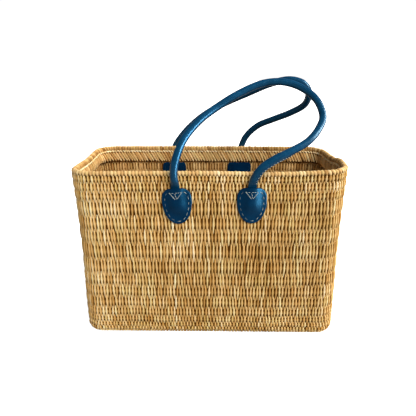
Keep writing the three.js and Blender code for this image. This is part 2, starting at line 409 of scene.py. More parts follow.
@dataclass(frozen=True)
class LeatherFinish:
    """Dyed leather: mottled colour, pebbled grain and an uneven polish."""

    name: str
    deep: Colour
    bright: Colour
    gloss_tint: Colour
    roughness: float = 0.36
    roughness_stray: float = 0.2
    gloss: float = 0.32
    mottle: float = 70.0
    # The values of the mottled pattern at the deep colour and at the bright one.
    mottle_reach: tuple[float, float] = (0.3, 0.72)
    grain: float = 900.0
    # How high the pores' pattern is, as a share of the grain's.
    pores: float = 0.4
    relief: float = 0.12
    depth: float = 0.25

    def material(self) -> Material:
        """Makes the finish, patterned in object coordinates.

        Returns:
            The material.
        """
        paint = Paint(self.name)
        place = paint.place()
        mottle = paint.noise(place, self.mottle, detail=3.0, roughness=0.55)
        cells = paint.add("ShaderNodeTexVoronoi", {"feature": "SMOOTH_F1"}, Vector=place, Scale=self.grain)
        pores = paint.noise(place, self.grain * 2.0, detail=2.0)
        height = paint.maths("MULTIPLY_ADD", pores, self.pores, cells.outputs["Distance"])
        return paint.finish(
            Base_Color=paint.ramp(mottle, (self.deep, self.bright), *self.mottle_reach),
            Roughness=paint.stray(mottle, self.roughness_stray, self.roughness),
            Specular_IOR_Level=self.gloss,
            Specular_Tint=(*self.gloss_tint, 1.0),
            Normal=paint.relief(height, self.relief, self.depth),
        )


@dataclass(frozen=True)
class ThreadFinish:
    """Waxed sewing thread with a fine twist."""

    name: str
    colour: Colour
    shade: Colour
    twist: float = 1600.0
    relief: float = 0.3
    depth: float = 0.2
    roughness: float = 0.6

    def material(self) -> Material:
        """Makes the finish, two tones of fibre in object coordinates.

        Returns:
            The material.
        """
        paint = Paint(self.name)
        twist = paint.noise(paint.place(), self.twist, detail=2.0)
        return paint.finish(
            Base_Color=paint.ramp(twist, (self.shade, self.colour)),
            Roughness=self.roughness,
            Normal=paint.relief(twist, self.relief, self.depth),
        )


# Meshes


def new_object(name: str, data: bpy.types.ID) -> Object:
    """Makes an object in the scene.

    Args:
        name: Its name.
        data: Its mesh, camera or light.

    Returns:
        The object.
    """
    made = bpy.data.objects.new(name, data)
    bpy.context.scene.collection.objects.link(made)
    return made


def solid(
    name: str, points: Sequence[Sequence[float]], faces: Sequence[Sequence[int]], material: Material
) -> Object:
    """Makes a smooth mesh piece.

    Args:
        name: The piece's name.
        points: Its vertices, in millimetres.
        faces: Its faces, as vertex numbers.
        material: Its finish.

    Returns:
        The piece, with its faces pointing outwards.
    """
    mesh = bpy.data.meshes.new(name)
    mesh.from_pydata([tuple(c * MM for c in p) for p in points], [], faces)
    mesh.polygons.foreach_set("use_smooth", [True] * len(mesh.polygons))
    mesh.materials.append(material)
    mesh.validate()
    mesh.update()
    return new_object(name, mesh)


def skin(
    loops: Sequence[Sequence[Vector]], ring: bool = False
) -> tuple[list[Vector], list[tuple[int, ...]]]:
    """Covers loops of equal length with quads.

    Args:
        loops: The loops in order, each anticlockwise as seen from ahead.
        ring: True to join the last loop to the first, False to close each end with a fan.

    Returns:
        The vertices and the faces.
    """
    count = len(loops[0])
    points = [p for loop in loops for p in loop]
    faces: list[tuple[int, ...]] = []
    for i in range(len(loops) if ring else len(loops) - 1):
        here, ahead = i * count, ((i + 1) % len(loops)) * count
        for k in range(count):
            n = (k + 1) % count
            faces.append((here + k, here + n, ahead + n, ahead + k))
    if not ring:
        for loop, forward in ((0, False), (len(loops) - 1, True)):
            hub = len(points)
            points.append(sum(loops[loop], Vector()) / count)
            for k in range(count):
                a, b = loop * count + k, loop * count + (k + 1) % count
                faces.append((hub, a, b) if forward else (hub, b, a))
    return points, faces


def dress(piece: Object, slot: Slot, *nodes: str) -> Object:
    """Gives a finished piece its body, and hides the solids that it stands for.

    Args:
        piece: The piece.
        slot: The record's slot that it would take its finish from; not used.
        nodes: The solids that it replaces.

    Returns:
        The piece.
    """
    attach(piece, BODY)
    if nodes:
        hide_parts(*nodes)
    stands_for = f", for {', '.join(nodes)}" if nodes else ""
    log.info("%s: %d faces%s", piece.name, len(piece.data.polygons), stands_for)
    return piece


@dataclass
class Spots:
    """Places for a repeated shape: where each is, how it faces and lies, its length and its tone."""

    places: list[Vector] = field(default_factory=list)
    faces: list[Vector] = field(default_factory=list)
    lies: list[Vector] = field(default_factory=list)
    lengths: list[float] = field(default_factory=list)
    tones: list[float] = field(default_factory=list)

    def add(self, place: Vector, face: Vector, lie: Vector, length: float, tone: float) -> None:
        """Adds one place.

        Args:
            place: Where the shape's middle is.
            face: The way that it faces.
            lie: The way that its length lies.
            length: Its length.
            tone: Its tone, from 0 for dark to 1 for pale.
        """
        self.places.append(place)
        self.faces.append(face)
        self.lies.append(lie)
        self.lengths.append(length)
        self.tones.append(tone)

    def mesh(self, name: str) -> Mesh:
        """Makes a mesh with a vertex at each place, which carries the rest as attributes.

        Args:
            name: The mesh's name.

        Returns:
            The mesh, in metres.
        """
        made = bpy.data.meshes.new(name)
        made.from_pydata([p * MM for p in self.places], [], [])
        for attribute, vectors in (("face", self.faces), ("lie", self.lies)):
            layer = made.attributes.new(attribute, "FLOAT_VECTOR", "POINT")
            layer.data.foreach_set("vector", np.array(vectors, np.float32).ravel())
        for attribute, values in (("length", np.array(self.lengths) * MM), ("tone", self.tones)):
            layer = made.attributes.new(attribute, "FLOAT", "POINT")
            layer.data.foreach_set("value", np.array(values, np.float32))
        return made


class NodeTool:
    """A Geometry Nodes tree that sets copies of a shape, run on a mesh and turned into a plain mesh."""

    def __init__(self, name: str, sizes: Sequence[str]) -> None:
        """Makes a tree with its named inputs and no steps.

        Args:
            name: The tree's name.
            sizes: The names of its own inputs, all numbers, beside those that every tree has.
        """
        kinds = {"Shape": "NodeSocketObject", "Seed": "NodeSocketInt", "Finish": "NodeSocketMaterial"}
        kinds |= {size: "NodeSocketFloat" for size in (*sizes, "Tilt")}
        self.tree = bpy.data.node_groups.new(name, "GeometryNodeTree")
        sockets = self.tree.interface
        sockets.new_socket("Geometry", in_out="INPUT", socket_type="NodeSocketGeometry")
        sockets.new_socket("Geometry", in_out="OUTPUT", socket_type="NodeSocketGeometry")
        self.identifiers = {
            label: sockets.new_socket(label, in_out="INPUT", socket_type=kind).identifier
            for label, kind in kinds.items()
        }
        self.graph = Graph(self.tree)
        self.inputs = self.graph.add("NodeGroupInput").outputs

    def attribute(self, name: str, kind: str = "FLOAT") -> NodeSocket:
        """Returns an attribute of the mesh, a number unless another kind is named."""
        node = self.graph.add("GeometryNodeInputNamedAttribute", {"data_type": kind}, Name=name)
        return node.outputs["Attribute"]

    def chance(self, low: object, high: object, offset: int) -> NodeSocket:
        """Draws a random number for each place.

        Args:
            low: The least, a value or a socket.
            high: The most, a value or a socket.
            offset: Added to the tree's Seed, so that each draw is its own.

        Returns:
            The number.
        """
        seed = self.graph.maths("ADD", self.inputs["Seed"], offset)
        node = self.graph.add("FunctionNodeRandomValue", {"data_type": "FLOAT"}, Min=low, Max=high, Seed=seed)
        return self.graph.result(node)

    def strayed(self, value: NodeSocket, low: object, high: object, offset: int) -> NodeSocket:
        """Returns a value times a random number from low to high."""
        return self.graph.maths("MULTIPLY", value, self.chance(low, high, offset))

    def turned(self, lie: NodeSocket) -> NodeSocket:
        """Turns each copy to its place, with a random sway of up to the tree's Tilt.

        Args:
            lie: The way that its length lies.

        Returns:
            Its rotation.
        """
        graph = self.graph
        turn = graph.add(
            "FunctionNodeAxesToRotation",
            {"primary_axis": "Z", "secondary_axis": "Y"},
            Primary_Axis=self.attribute("face", "FLOAT_VECTOR"),
            Secondary_Axis=lie,
        ).outputs[0]
        tilt = self.chance(graph.maths("MULTIPLY", self.inputs["Tilt"], -1.0), self.inputs["Tilt"], 1)
        sway = graph.add("FunctionNodeAxisAngleToRotation", Axis=(0.0, 0.0, 1.0), Angle=tilt).outputs[0]
        local = {"rotation_space": "LOCAL"}
        return graph.add("FunctionNodeRotateRotation", local, Rotation=turn, Rotate_By=sway).outputs[0]

    def copies(self, points: NodeSocket, lie: NodeSocket, *sizes: NodeSocket) -> NodeSocket:
        """Sets a copy of the tree's Shape at each point.

        Args:
            points: The points.
            lie: The way that a copy's length lies.
            sizes: Its width, length and thickness.

        Returns:
            The copies.
        """
        shape = self.graph.add("GeometryNodeObjectInfo", Object=self.inputs["Shape"])
        scale = self.graph.add("ShaderNodeCombineXYZ", **dict(zip("XYZ", sizes)))
        made = self.graph.add(
            "GeometryNodeInstanceOnPoints",
            Points=points,
            Instance=shape.outputs["Geometry"],
            Rotation=self.turned(lie),
            Scale=scale.outputs[0],
        )
        return made.outputs[0]

    def end(self, copies: NodeSocket) -> None:
        """Ends the tree: the copies become one smooth mesh with the tree's Finish.

        Args:
            copies: The copies of the shape.
        """
        graph = self.graph
        finish = self.inputs["Finish"]
        mesh = graph.add("GeometryNodeRealizeInstances", Geometry=copies).outputs[0]
        smooth = graph.add("GeometryNodeSetShadeSmooth", Geometry=mesh, Shade_Smooth=True).outputs[0]
        dressed = graph.add("GeometryNodeSetMaterial", Geometry=smooth, Material=finish).outputs[0]
        graph.add("NodeGroupOutput", Geometry=dressed)

    def run(self, name: str, mesh: Mesh, values: dict[str, object]) -> Object:
        """Runs the tree on a mesh.

        Args:
            name: The new piece's name.
            mesh: What the tree starts from.
            values: A value for each named input.

        Returns:
            A piece with a plain mesh and no modifier.
        """
        piece = new_object(name, mesh)
        modifier = piece.modifiers.new(self.tree.name, "NODES")
        modifier.node_group = self.tree
        for key, value in values.items():
            modifier[self.identifiers[key]] = value
        depsgraph = bpy.context.evaluated_depsgraph_get()
        evaluated = piece.evaluated_get(depsgraph)
        made = bpy.data.meshes.new_from_object(evaluated, preserve_all_data_layers=True, depsgraph=depsgraph)
        piece.modifiers.remove(modifier)
        piece.data = made
        made.name = name
        bpy.data.meshes.remove(mesh)
        for attribute in ("face", "lie", "length"):
            if attribute in made.attributes:
                made.attributes.remove(made.attributes[attribute])
        return piece


class StrandLayer(NodeTool):
    """Lays one shape at every spot of a mesh, each a little different."""

    # How far strands' lengths stray, as shares.
    LENGTHS = (0.96, 1.04)

    def __init__(self) -> None:
        """Builds the tree."""
        super().__init__("strand layer", ("Width", "Thickness", "Spread"))
        graph = self.graph
        low = graph.maths("SUBTRACT", 1.0, self.inputs["Spread"])
        high = graph.maths("ADD", 1.0, self.inputs["Spread"])
        laid = self.copies(
            self.inputs["Geometry"],
            self.attribute("lie", "FLOAT_VECTOR"),
            self.strayed(self.inputs["Width"], low, high, 2),
            self.strayed(self.attribute("length"), *self.LENGTHS, 3),
            self.strayed(self.inputs["Thickness"], low, high, 4),
        )
        flecked = graph.add(
            "GeometryNodeStoreNamedAttribute",
            {"data_type": "FLOAT", "domain": "INSTANCE"},
            Geometry=laid,
            Name="fleck",
            Value=self.chance(0.0, 1.0, 5),
        )
        self.end(flecked.outputs[0])

    def lay(
        self,
        name: str,
        spots: Spots,
        shape: Object,
        width: float,
        thickness: float,
        finish: Material,
        spread: float,
        tilt: float,
        seed: int,
    ) -> Object:
        """Lays a shape at the spots.

        Args:
            name: The new piece's name.
            spots: The places.
            shape: The shape, one unit wide, long and thick.
            width: Its width.
            thickness: Its thickness.
            finish: The material.
            spread: How far widths and thicknesses stray, as a share.
            tilt: How far a shape may turn from the way it lies, in degrees.
            seed: For the random draws.

        Returns:
            The piece.
        """
        values = {
            "Shape": shape,
            "Width": width * MM,
            "Thickness": thickness * MM,
            "Spread": spread,
            "Tilt": math.radians(tilt),
            "Seed": seed,
            "Finish": finish,
        }
        return self.run(name, spots.mesh(name + "_spots"), values)


@dataclass(frozen=True)
class Stitching:
    """The sizes of a row of stitches, and how far each may turn from the row, in degrees."""

    length: float
    pitch: float
    thread: float = 0.8
    tilt: float = 4.0


class StitchLine(NodeTool):
    """Sews stitches of about one length along a line that lies on a surface."""

    # How far stitches' lengths stray, as shares.
    LENGTHS = (0.88, 1.1)

    def __init__(self) -> None:
        """Builds the tree."""
        super().__init__("stitch line", ("Length", "Pitch", "Thread"))
        graph = self.graph
        line = graph.add("GeometryNodeMeshToCurve", Mesh=self.inputs["Geometry"]).outputs[0]
        pitch = self.inputs["Pitch"]
        points = graph.add("GeometryNodeCurveToPoints", {"mode": "LENGTH"}, Curve=line, Length=pitch)
        sewn = self.copies(
            points.outputs["Points"],
            points.outputs["Tangent"],
            self.inputs["Thread"],
            self.strayed(self.inputs["Length"], *self.LENGTHS, 2),
            self.inputs["Thread"],
        )
        self.end(sewn)

    def sew(
        self, name: str, lines: Sequence[SewnLine], stitch: Object, finish: Material, sizes: Stitching
    ) -> Object:
        """Sews along lines.

        Args:
            name: The new piece's name.
            lines: The lines.
            stitch: The stitch, one unit long and thick.
            finish: The thread's material.
            sizes: The stitches' sizes.

        Returns:
            The piece.
        """
        mesh = bpy.data.meshes.new(name + "_line")
        points = [p for line in lines for p, _ in line]
        faces = [f for line in lines for _, f in line]
        edges = []
        start = 0
        for line in lines:
            edges += [(start + i, start + i + 1) for i in range(len(line) - 1)]
            start += len(line)
        mesh.from_pydata([p * MM for p in points], edges, [])
        layer = mesh.attributes.new("face", "FLOAT_VECTOR", "POINT")
        layer.data.foreach_set("vector", np.array(faces, np.float32).ravel())
        values = {
            "Shape": stitch,
            "Length": sizes.length * MM,
            "Pitch": sizes.pitch * MM,
            "Thread": sizes.thread * MM,
            "Tilt": math.radians(sizes.tilt),
            "Seed": len(points),
            "Finish": finish,
        }
        return self.run(name, mesh, values)


# Shapes that repeat


@dataclass(frozen=True)
class Bend:
    """How a strand narrows and dives from its middle to its ends, in shares of its own sizes."""

    # Its widths at even steps from its middle to its ends.
    widths: tuple[float, ...]
    # How far it falls at the ends, and how long it keeps its height.
    dip: float
    hold: float
    # How far its edges are below its crest.
    edge: float


class Shapes:
    """The few small shapes that are laid thousands of times. Each is one unit wide, long and thick."""

    def __init__(self) -> None:
        """Makes the shapes, outside the scene."""
        self.spindle = self.strand("spindle", 4, Bend((1.05, 0.66, 0.62, 0.4), dip=1.1, hold=3.2, edge=0.95))
        self.reed = self.strand("reed", 4, Bend((1.0, 0.84, 0.76, 0.55), dip=1.0, hold=2.6, edge=0.95))
        self.slat = self.strand("slat", 4, Bend((1.0, 0.97, 0.89, 0.75), dip=0.8, hold=2.0, edge=0.8))
        self.wrap = self.arch("wrap", along=12, across=4)
        self.stitch = self.strand("stitch", 4, Bend((1.0, 0.85, 0.4), dip=1.0, hold=2.0, edge=0.8))

    @staticmethod
    def grid(name: str, rows: Sequence[Sequence[Vector]]) -> Object:
        """Makes a shape.

        Args:
            name: The shape's name.
            rows: Rows of vertices, from one end to the other.

        Returns:
            An object with a UV map, u across it and v along it.
        """
        across, along = len(rows[0]) - 1, len(rows) - 1
        mesh = bpy.data.meshes.new(name)
        faces = []
        for i in range(along):
            for k in range(across):
                a = i * (across + 1) + k
                faces.append((a, a + 1, a + across + 2, a + across + 1))
        mesh.from_pydata([p for row in rows for p in row], [], faces)
        layer = mesh.uv_layers.new(name="strand")
        for loop in mesh.loops:
            i, k = divmod(loop.vertex_index, across + 1)
            layer.data[loop.index].uv = (k / across, i / along)
        return bpy.data.objects.new(name, mesh)

    @classmethod
    def strand(cls, name: str, across: int, bend: Bend) -> Object:
        """Makes a strand that rises over what it crosses and dives at its ends.

        Args:
            name: The shape's name.
            across: Faces across it.
            bend: How it narrows and dives.

        Returns:
            The shape.
        """
        turn = math.radians(75)
        half = len(bend.widths) - 1
        rows = []
        for i in range(-half, half + 1):
            t = i / half
            crest = 1 - bend.dip * abs(t) ** bend.hold
            width = bend.widths[abs(i)]
            row = []
            for k in range(across + 1):
                angle = turn * (2 * k / across - 1)
                drop = (1 - math.cos(angle)) / (1 - math.cos(turn)) * bend.edge
                row.append(Vector((0.5 * width * math.sin(angle) / math.sin(turn), 0.5 * t, crest - drop)))
            rows.append(row)
        return cls.grid(name, rows)

    @classmethod
    def arch(cls, name: str, along: int, across: int) -> Object:
        """Makes a strand bent over an edge, from outside it to inside it, a little slanted.

        Args:
            name: The shape's name.
            along: Faces along it.
            across: Faces across it.

        Returns:
            The shape, which arches over the local X axis.
        """
        outside, inside = math.radians(106), math.radians(112)
        narrowing, tip = math.radians(48), 0.42
        slant = 0.3
        edge_drop, tip_drop = 0.15, 0.14
        rows = []
        for i in range(along + 1):
            t = 2 * i / along - 1
            angle = i / along * (outside + inside) - outside
            past = max(-angle - narrowing, 0.0) / (outside - narrowing)
            width = 1.0 - (1.0 - tip) * past
            row = []
            for k in range(across + 1):
                s = 2 * k / across - 1
                swell = 1.0 - edge_drop * s * s - tip_drop * past * past
                x = 0.5 * s * width + slant * (t + 1)
                row.append(Vector((x, swell * math.sin(-angle), swell * math.cos(angle))))
            rows.append(row)
        return cls.grid(name, rows)

    def clear(self) -> None:
        """Deletes the shapes once they have been laid."""
        for shape in (self.spindle, self.reed, self.slat, self.wrap, self.stitch):
            mesh = shape.data
            bpy.data.objects.remove(shape)
            bpy.data.meshes.remove(mesh)


# Basket


@dataclass(frozen=True)
class Station:
    """The basket's outer form at one height, in millimetres."""

    z: float
    width: float
    depth: float
    corner: float
    belly: float


def edge_inset(radius: float, height: float) -> float:
    """Returns how far a quarter-round edge has turned in at a height above its start."""
    left = max(radius - height, 0.0)
    return radius - math.sqrt(radius * radius - left * left)


@dataclass(frozen=True)
class BasketForm:
    """The form of the basket's wall, which every other piece lies on. Sizes are in millimetres."""

    rim_height: float = 302.0
    wall: float = 6.0
    floor: float = 7.0
    base_edge: float = 12.0
    tightest_corner: float = 6.0
    stations: tuple[Station, ...] = (
        Station(0, 447, 180, 32, 0),
        Station(75, 450, 184, 35, 2),
        Station(150, 450, 190.5, 38, 3),
        Station(225, 454, 198, 40, 2),
        Station(302, 462, 205, 42, 0),
    )
    # Degrees round from the right-hand end, and the rim's lift there.
    rim_lift: tuple[tuple[float, float], ...] = (
        (0, 2.8),
        (28, 1.4),
        (45, 3),
        (90, 4),
        (135, 4.5),
        (180, -0.5),
        (225, 1),
        (266, 1.7),
        (298, 0.2),
        (317, 4.3),
        (338, 8.8),
        (360, 2.8),
    )

    def size(self, name: str, z: float) -> float:
        """Reads one column of the stations at a height, on a smooth curve through them.

        Args:
            name: The column.
            z: The height.

        Returns:
            The column's value there.
        """
        rows = self.stations
        last = len(rows) - 1
        i = max(0, min(last - 1, sum(row.z <= z for row in rows) - 1))

        def slope(k: int) -> float:
            """Returns the slope at a station, from its neighbours."""
            a, b = rows[max(k - 1, 0)], rows[min(k + 1, last)]
            return (getattr(b, name) - getattr(a, name)) / (b.z - a.z)

        low, high = rows[i], rows[i + 1]
        gap = high.z - low.z
        t = (z - low.z) / gap
        start, rise = getattr(low, name), getattr(high, name) - getattr(low, name)
        return glide(start, rise, slope(i) * gap, slope(i + 1) * gap, t)

    def lift(self, x: float, y: float, z: float) -> float:
        """Works out how far the wall is lifted, which fades down from the rim.

        Args:
            x: The place along the front.
            y: The place from front to back.
            z: The height.

        Returns:
            The lift there.
        """
        turn = math.degrees(math.atan2(y / self.size("depth", z), x / self.size("width", z))) % 360
        i = sum(start <= turn for start, _ in self.rim_lift) - 1
        (start, low), (end, high) = self.rim_lift[i : i + 2]
        fading = (z / self.rim_height) ** 3
        return (low + (high - low) * ease((turn - start) / (end - start))) * fading

    def spot(self, share: float, z: float, inset: float = 0.0) -> tuple[Vector, Vector]:
        """Finds a place on the wall.

        Args:
            share: The share of the way round, from the right-hand end and anticlockwise from above.
            z: The height.
            inset: How far inside the outer face.

        Returns:
            The place, and the level direction out of the wall there.
        """
        deep = inset + edge_inset(self.base_edge, max(z, 0.0))
        half_x = self.size("width", z) / 2 - deep
        half_y = self.size("depth", z) / 2 - deep
        corner = max(self.size("corner", z) - deep, self.tightest_corner)
        flat_x, flat_y, arc = half_x - corner, half_y - corner, corner * math.pi / 2
        quarter = flat_x + flat_y + arc
        quadrant, rest = divmod((share % 1.0) * 4 * quarter, quarter)
        quadrant = int(quadrant) % 4
        rest = quarter - rest if quadrant % 2 else rest
        side_x = 1 if quadrant in (0, 3) else -1
        side_y = 1 if quadrant < 2 else -1
        angle = min(max((rest - flat_y) / corner, 0.0), math.pi / 2)
        x = flat_x + corner * math.cos(angle) - max(rest - flat_y - arc, 0.0)
        y = min(rest, flat_y) + corner * math.sin(angle)
        out = Vector((side_x * math.cos(angle), side_y * math.sin(angle), 0))
        x, y = side_x * x, side_y * y
        bow = self.size("belly", z) * max(0.0, 1 - (x / half_x) ** 2) * (y / half_y)
        return Vector((x, y + bow, z + self.lift(x, y, z))), out

    def frame(
        self, share: float, z: float, inset: float, reach: float = 3.0
    ) -> tuple[Vector, Vector, Vector]:
        """Finds a place on the wall and how the wall lies there.

        Args:
            share: The share of the way round.
            z: The height.
            inset: How far inside the outer face.
            reach: How far up and down the wall's slope is read.

        Returns:
            The place, the direction out of the wall, and the direction up it.
        """
        place, out = self.spot(share, z, inset)
        rise = (self.spot(share, z + reach, inset)[0] - self.spot(share, z - reach, inset)[0]).normalized()
        return place, (out - rise * out.dot(rise)).normalized(), rise

    def loop(self, z: float, inset: float, count: int) -> list[Vector]:
        """Returns one closed loop of the wall at a height, of evenly spaced points."""
        return [self.spot(k / count, z, inset)[0] for k in range(count)]

    def wall_face(self, x: float, z: float) -> float:
        """Returns half the basket's depth at the outer face of a wide wall."""
        share = 2 * x / self.size("width", z)
        return self.size("depth", z) / 2 + self.size("belly", z) * (1 - share * share)


@dataclass(frozen=True)
class StrandTones:
    """How strands differ in tone, from 0 for dark to 1 for pale."""

    mean: float = 0.54
    stray: float = 0.07
    # The shares of strands that are much paler or much darker, and by how much.
    pale_share: float = 0.05
    pale_shift: float = 0.16
    dark_share: float = 0.06
    dark_shift: float = -0.22

    def draw(self, draw: np.random.Generator, count: int) -> np.ndarray:
        """Draws the strands' tones.

        Args:
            draw: For the random draws.
            count: How many strands there are.

        Returns:
            A tone for each strand.
        """
        tones = draw.normal(self.mean, self.stray, count)
        odd = draw.random(count)
        tones[odd > 1 - self.pale_share] += self.pale_shift
        tones[odd < self.dark_share] += self.dark_shift
        return tones


@dataclass
class Weave:
    """The woven walls and base: strands that show outside in one row and inside in the next."""

    form: BasketForm
    rush: Material
    # The inside's rush is darker all over: painted shade.
    shaded_inside_rush: Material
    painted_shade: Material
    # The heights between which the lowest row turns under the base, and the heights of the rows above it.
    base_row: tuple[float, float] = (0.6, 7.0)
    rows: tuple[float, ...] = (6.5, 9, 12.5, 17.5, 21, 22, 23, 28, 29.5, 24, 25, 25.5, 17, 15, 12.5)
    columns: int = 216
    width: float = 5.6
    inside_width: float = 6.2
    bulge: float = 2.5
    inside_bulge: float = 2.2
    spread: float = 0.1
    tilt: float = 2.5
    # How long a strand is for its row's height, and what the lowest row's strands have besides.
    overlap: float = 1.32
    base_tuck: float = 2.2
    # How far up and down the wall's slope is read, in the lowest row and above it.
    base_reach: float = 2.4
    reach: float = 3.0
    # How far strands stray round the basket, as a share of their pitch, and rows up and down it, on waves.
    column_stray: float = 0.05
    row_stray: float = 0.52
    row_waves: tuple[int, ...] = (3, 7, 13)
    # Inside, strands start just over the floor. A row that ends too low to show is left out, and so is one
    # that starts well up behind the rim's border.
    floor_gap: float = 0.5
    least_row: float = 4.0
    border_drop: float = 31.0
    border_tuck: float = 6.0
    # The base: its rows from front to back, its strands' pitch, the underside's margin and the height of its
    # strands' feet, the floor's margin inside the wall, and how far into the round corners strands may go.
    base_rows: int = 7
    base_pitch: float = 6.0
    base_margin: float = 9.0
    base_rise: float = 2.8
    floor_margin: float = 1.5
    corner_slack: float = 2.0
    # The insets of the strands' feet outside and inside. Then the shaded layer between them: how far it is
    # behind the inner ones, how far it dips between rows, at the base and at the top, the heights of its
    # loops at the base and inside, and how far it is over the floor strands' feet.
    core_inset: float = 2.4
    core_inner: float = 4.0
    core_gap: float = 0.3
    core_dip: float = 0.8
    core_base_dip: float = 0.5
    core_top_dip: float = 0.4
    core_base: tuple[float, ...] = (2.2, 4.0)
    core_heights: tuple[float, ...] = (262, 200, 140, 80, 20, 11)
    core_floor_lift: float = 0.1
    tones: StrandTones = StrandTones()
    wall_stray: float = 0.06
    base_stray: float = 0.08
    # How much darker the outside is round this place along the wall and up it, and how far that reaches each
    # way.
    browning: float = 0.135
    brown_place: tuple[float, float] = (75.0, 25.0)
    brown_reach: tuple[float, float] = (120.0, 200.0)
    seed: int = 11

    def __post_init__(self) -> None:
        """Draws each strand's tone and the start of each row's waves."""
        self.draw = np.random.default_rng(self.seed)
        self.strand_tones = self.tones.draw(self.draw, 2 * self.columns)
        self.phases = self.draw.random((len(self.rows) + 2, len(self.row_waves))) * math.tau

    def row_edges(self) -> list[float]:
        """Works out the heights between the rows.

        Returns:
            The heights, from the base's edge to the wall's top.
        """
        edges = list(self.base_row)
        for height in self.rows:
            edges.append(edges[-1] + height)
        return edges

    def wander(self, row: int, share: float) -> float:
        """Works out how far a row strays from its height, on smooth waves round the basket.

        Args:
            row: The row, from the base up.
            share: The share of the way round.

        Returns:
            How far up it is there.
        """
        if row < 2 or row >= len(self.rows):
            return 0.0
        waves = zip(self.row_waves, self.phases[row])
        return self.row_stray * sum(math.sin(math.tau * turns * share + phase) for turns, phase in waves)

    def browned(self, place: Vector) -> float:
        """Works out how much browner the outside is at a place.

        Args:
            place: The place.

        Returns:
            The difference in tone.
        """
        across = (place.x - self.brown_place[0]) / self.brown_reach[0]
        up = (place.z - self.brown_place[1]) / self.brown_reach[1]
        return self.browning * math.exp(-across * across - up * up)

    def wall_spots(self, side: Side) -> Spots:
        """Places the strands of the walls.

        Args:
            side: The face of the wall. A strand that is outside in one row is inside in the next.

        Returns:
            A spot for each visible stretch of strand.
        """
        spots = Spots()
        edges = self.row_edges()
        inside = side is Side.INSIDE
        inset = self.core_inner if inside else self.core_inset
        lowest = self.form.floor + self.floor_gap if inside else 0.0
        highest = self.form.rim_height - self.border_drop + self.border_tuck
        for row, (low, high) in enumerate(zip(edges, edges[1:])):
            if high < lowest + self.least_row or (inside and low > highest):
                continue
            start = max(low, lowest)
            reach, tuck = (self.base_reach, self.base_tuck) if row == 0 else (self.reach, 0.0)
            length = (high - start) * self.overlap + tuck
            parity = (row + side.value) % 2
            for k in range(self.columns):
                share = (k + 0.5 * parity + self.draw.normal(0, self.column_stray)) / self.columns
                middle = (start + high) / 2 + self.wander(row, share)
                place, out, rise = self.form.frame(share, middle, inset, reach)
                tone = self.strand_tones[2 * k + parity] + self.draw.normal(0, self.wall_stray)
                tone -= 0.0 if inside else self.browned(place)
                spots.add(place, -out if inside else out, rise, length, tone)
        return spots

    def base_spots(self, side: Side) -> Spots:
        """Places the strands of the base, which run from front to back.

        Args:
            side: The underside, or the floor inside.

        Returns:
            A spot for each visible stretch of strand.
        """
        spots = Spots()
        inside = side is Side.INSIDE
        z = self.form.floor - self.inside_bulge if inside else self.base_rise
        face = UP if inside else -UP
        margin = self.form.wall + self.floor_margin if inside else self.base_margin
        half_x = self.form.size("width", 0) / 2 - margin
        half_y = self.form.size("depth", 0) / 2 - margin
        corner = self.form.size("corner", 0) - margin
        pitch = 2 * half_y / self.base_rows
        columns = int(2 * half_x / self.base_pitch)
        for row in range(self.base_rows):
            parity = (row + side.value) % 2
            for k in range(columns):
                x = -half_x + (k + 0.5 + 0.5 * parity) * 2 * half_x / (columns + 0.5)
                y = -half_y + (row + 0.5) * pitch
                over = max(abs(x) - half_x + corner, 0), max(abs(y) + pitch / 2 - half_y + corner, 0)
                if math.hypot(*over) > corner + self.corner_slack:
                    continue
                tone = self.strand_tones[2 * k + parity] + self.draw.normal(0, self.base_stray)
                spots.add(Vector((x, y, z)), face, Vector((0, 1, 0)), pitch * self.overlap, tone)
        return spots

    def core(self) -> Object:
        """Makes the shaded layer between the outer and the inner strands.

        Returns:
            The piece, a shell open at the top.
        """
        edges = self.row_edges()
        outside = [(z, self.core_base_dip) for z in self.core_base]
        for start, end in zip(edges[1:], edges[2:]):
            outside += [(start, self.core_dip), ((start + end) / 2, 0.0)]
        outside.append((edges[-1], self.core_top_dip))
        floor = self.form.floor - self.inside_bulge + self.core_floor_lift
        inner = self.core_inner - self.core_gap
        loops = [self.form.loop(z, self.core_inset + dip, LOOP_POINTS) for z, dip in outside]
        loops += [self.form.loop(z, inner, LOOP_POINTS) for z in (edges[-1], *self.core_heights, floor)]
        return solid("basket_core", *skin(loops), self.painted_shade)

    def build(self, layer: StrandLayer, shapes: Shapes) -> None:
        """Makes the weave's pieces and dresses them.

        Args:
            layer: Lays the strands.
            shapes: Has the strands' shapes.
        """
        dress(self.core(), Slot.WEAVE, "basket_body")
        outside = self.wall_spots(Side.OUTSIDE)
        inside = self.wall_spots(Side.INSIDE)
        under = self.base_spots(Side.OUTSIDE)
        floor = self.base_spots(Side.INSIDE)
        outer = (shapes.spindle, self.width, self.bulge, self.rush, self.spread, self.tilt)
        inner = (shapes.reed, self.inside_width, self.inside_bulge, self.shaded_inside_rush, self.spread, self.tilt)
        for name, spots, make, seed in (
            ("weave_outside", outside, outer, 3),
            ("weave_inside", inside, inner, 5),
            ("weave_underside", under, outer, 7),
            ("weave_floor", floor, inner, 9),
        ):
            dress(layer.lay(name, spots, *make, seed), Slot.WEAVE)


@dataclass(frozen=True)
class BandRow:
    """A row of slanted strands on the rim's inner band."""

    name: str
    # From the rim's top down to the row's middle.
    depth: float
    length: float
    width: float
    thick: float
    # The strands' lean from upright, and how far each may turn from it, in degrees.
    slant: float
    tilt: float
    tone: float
    seed: int


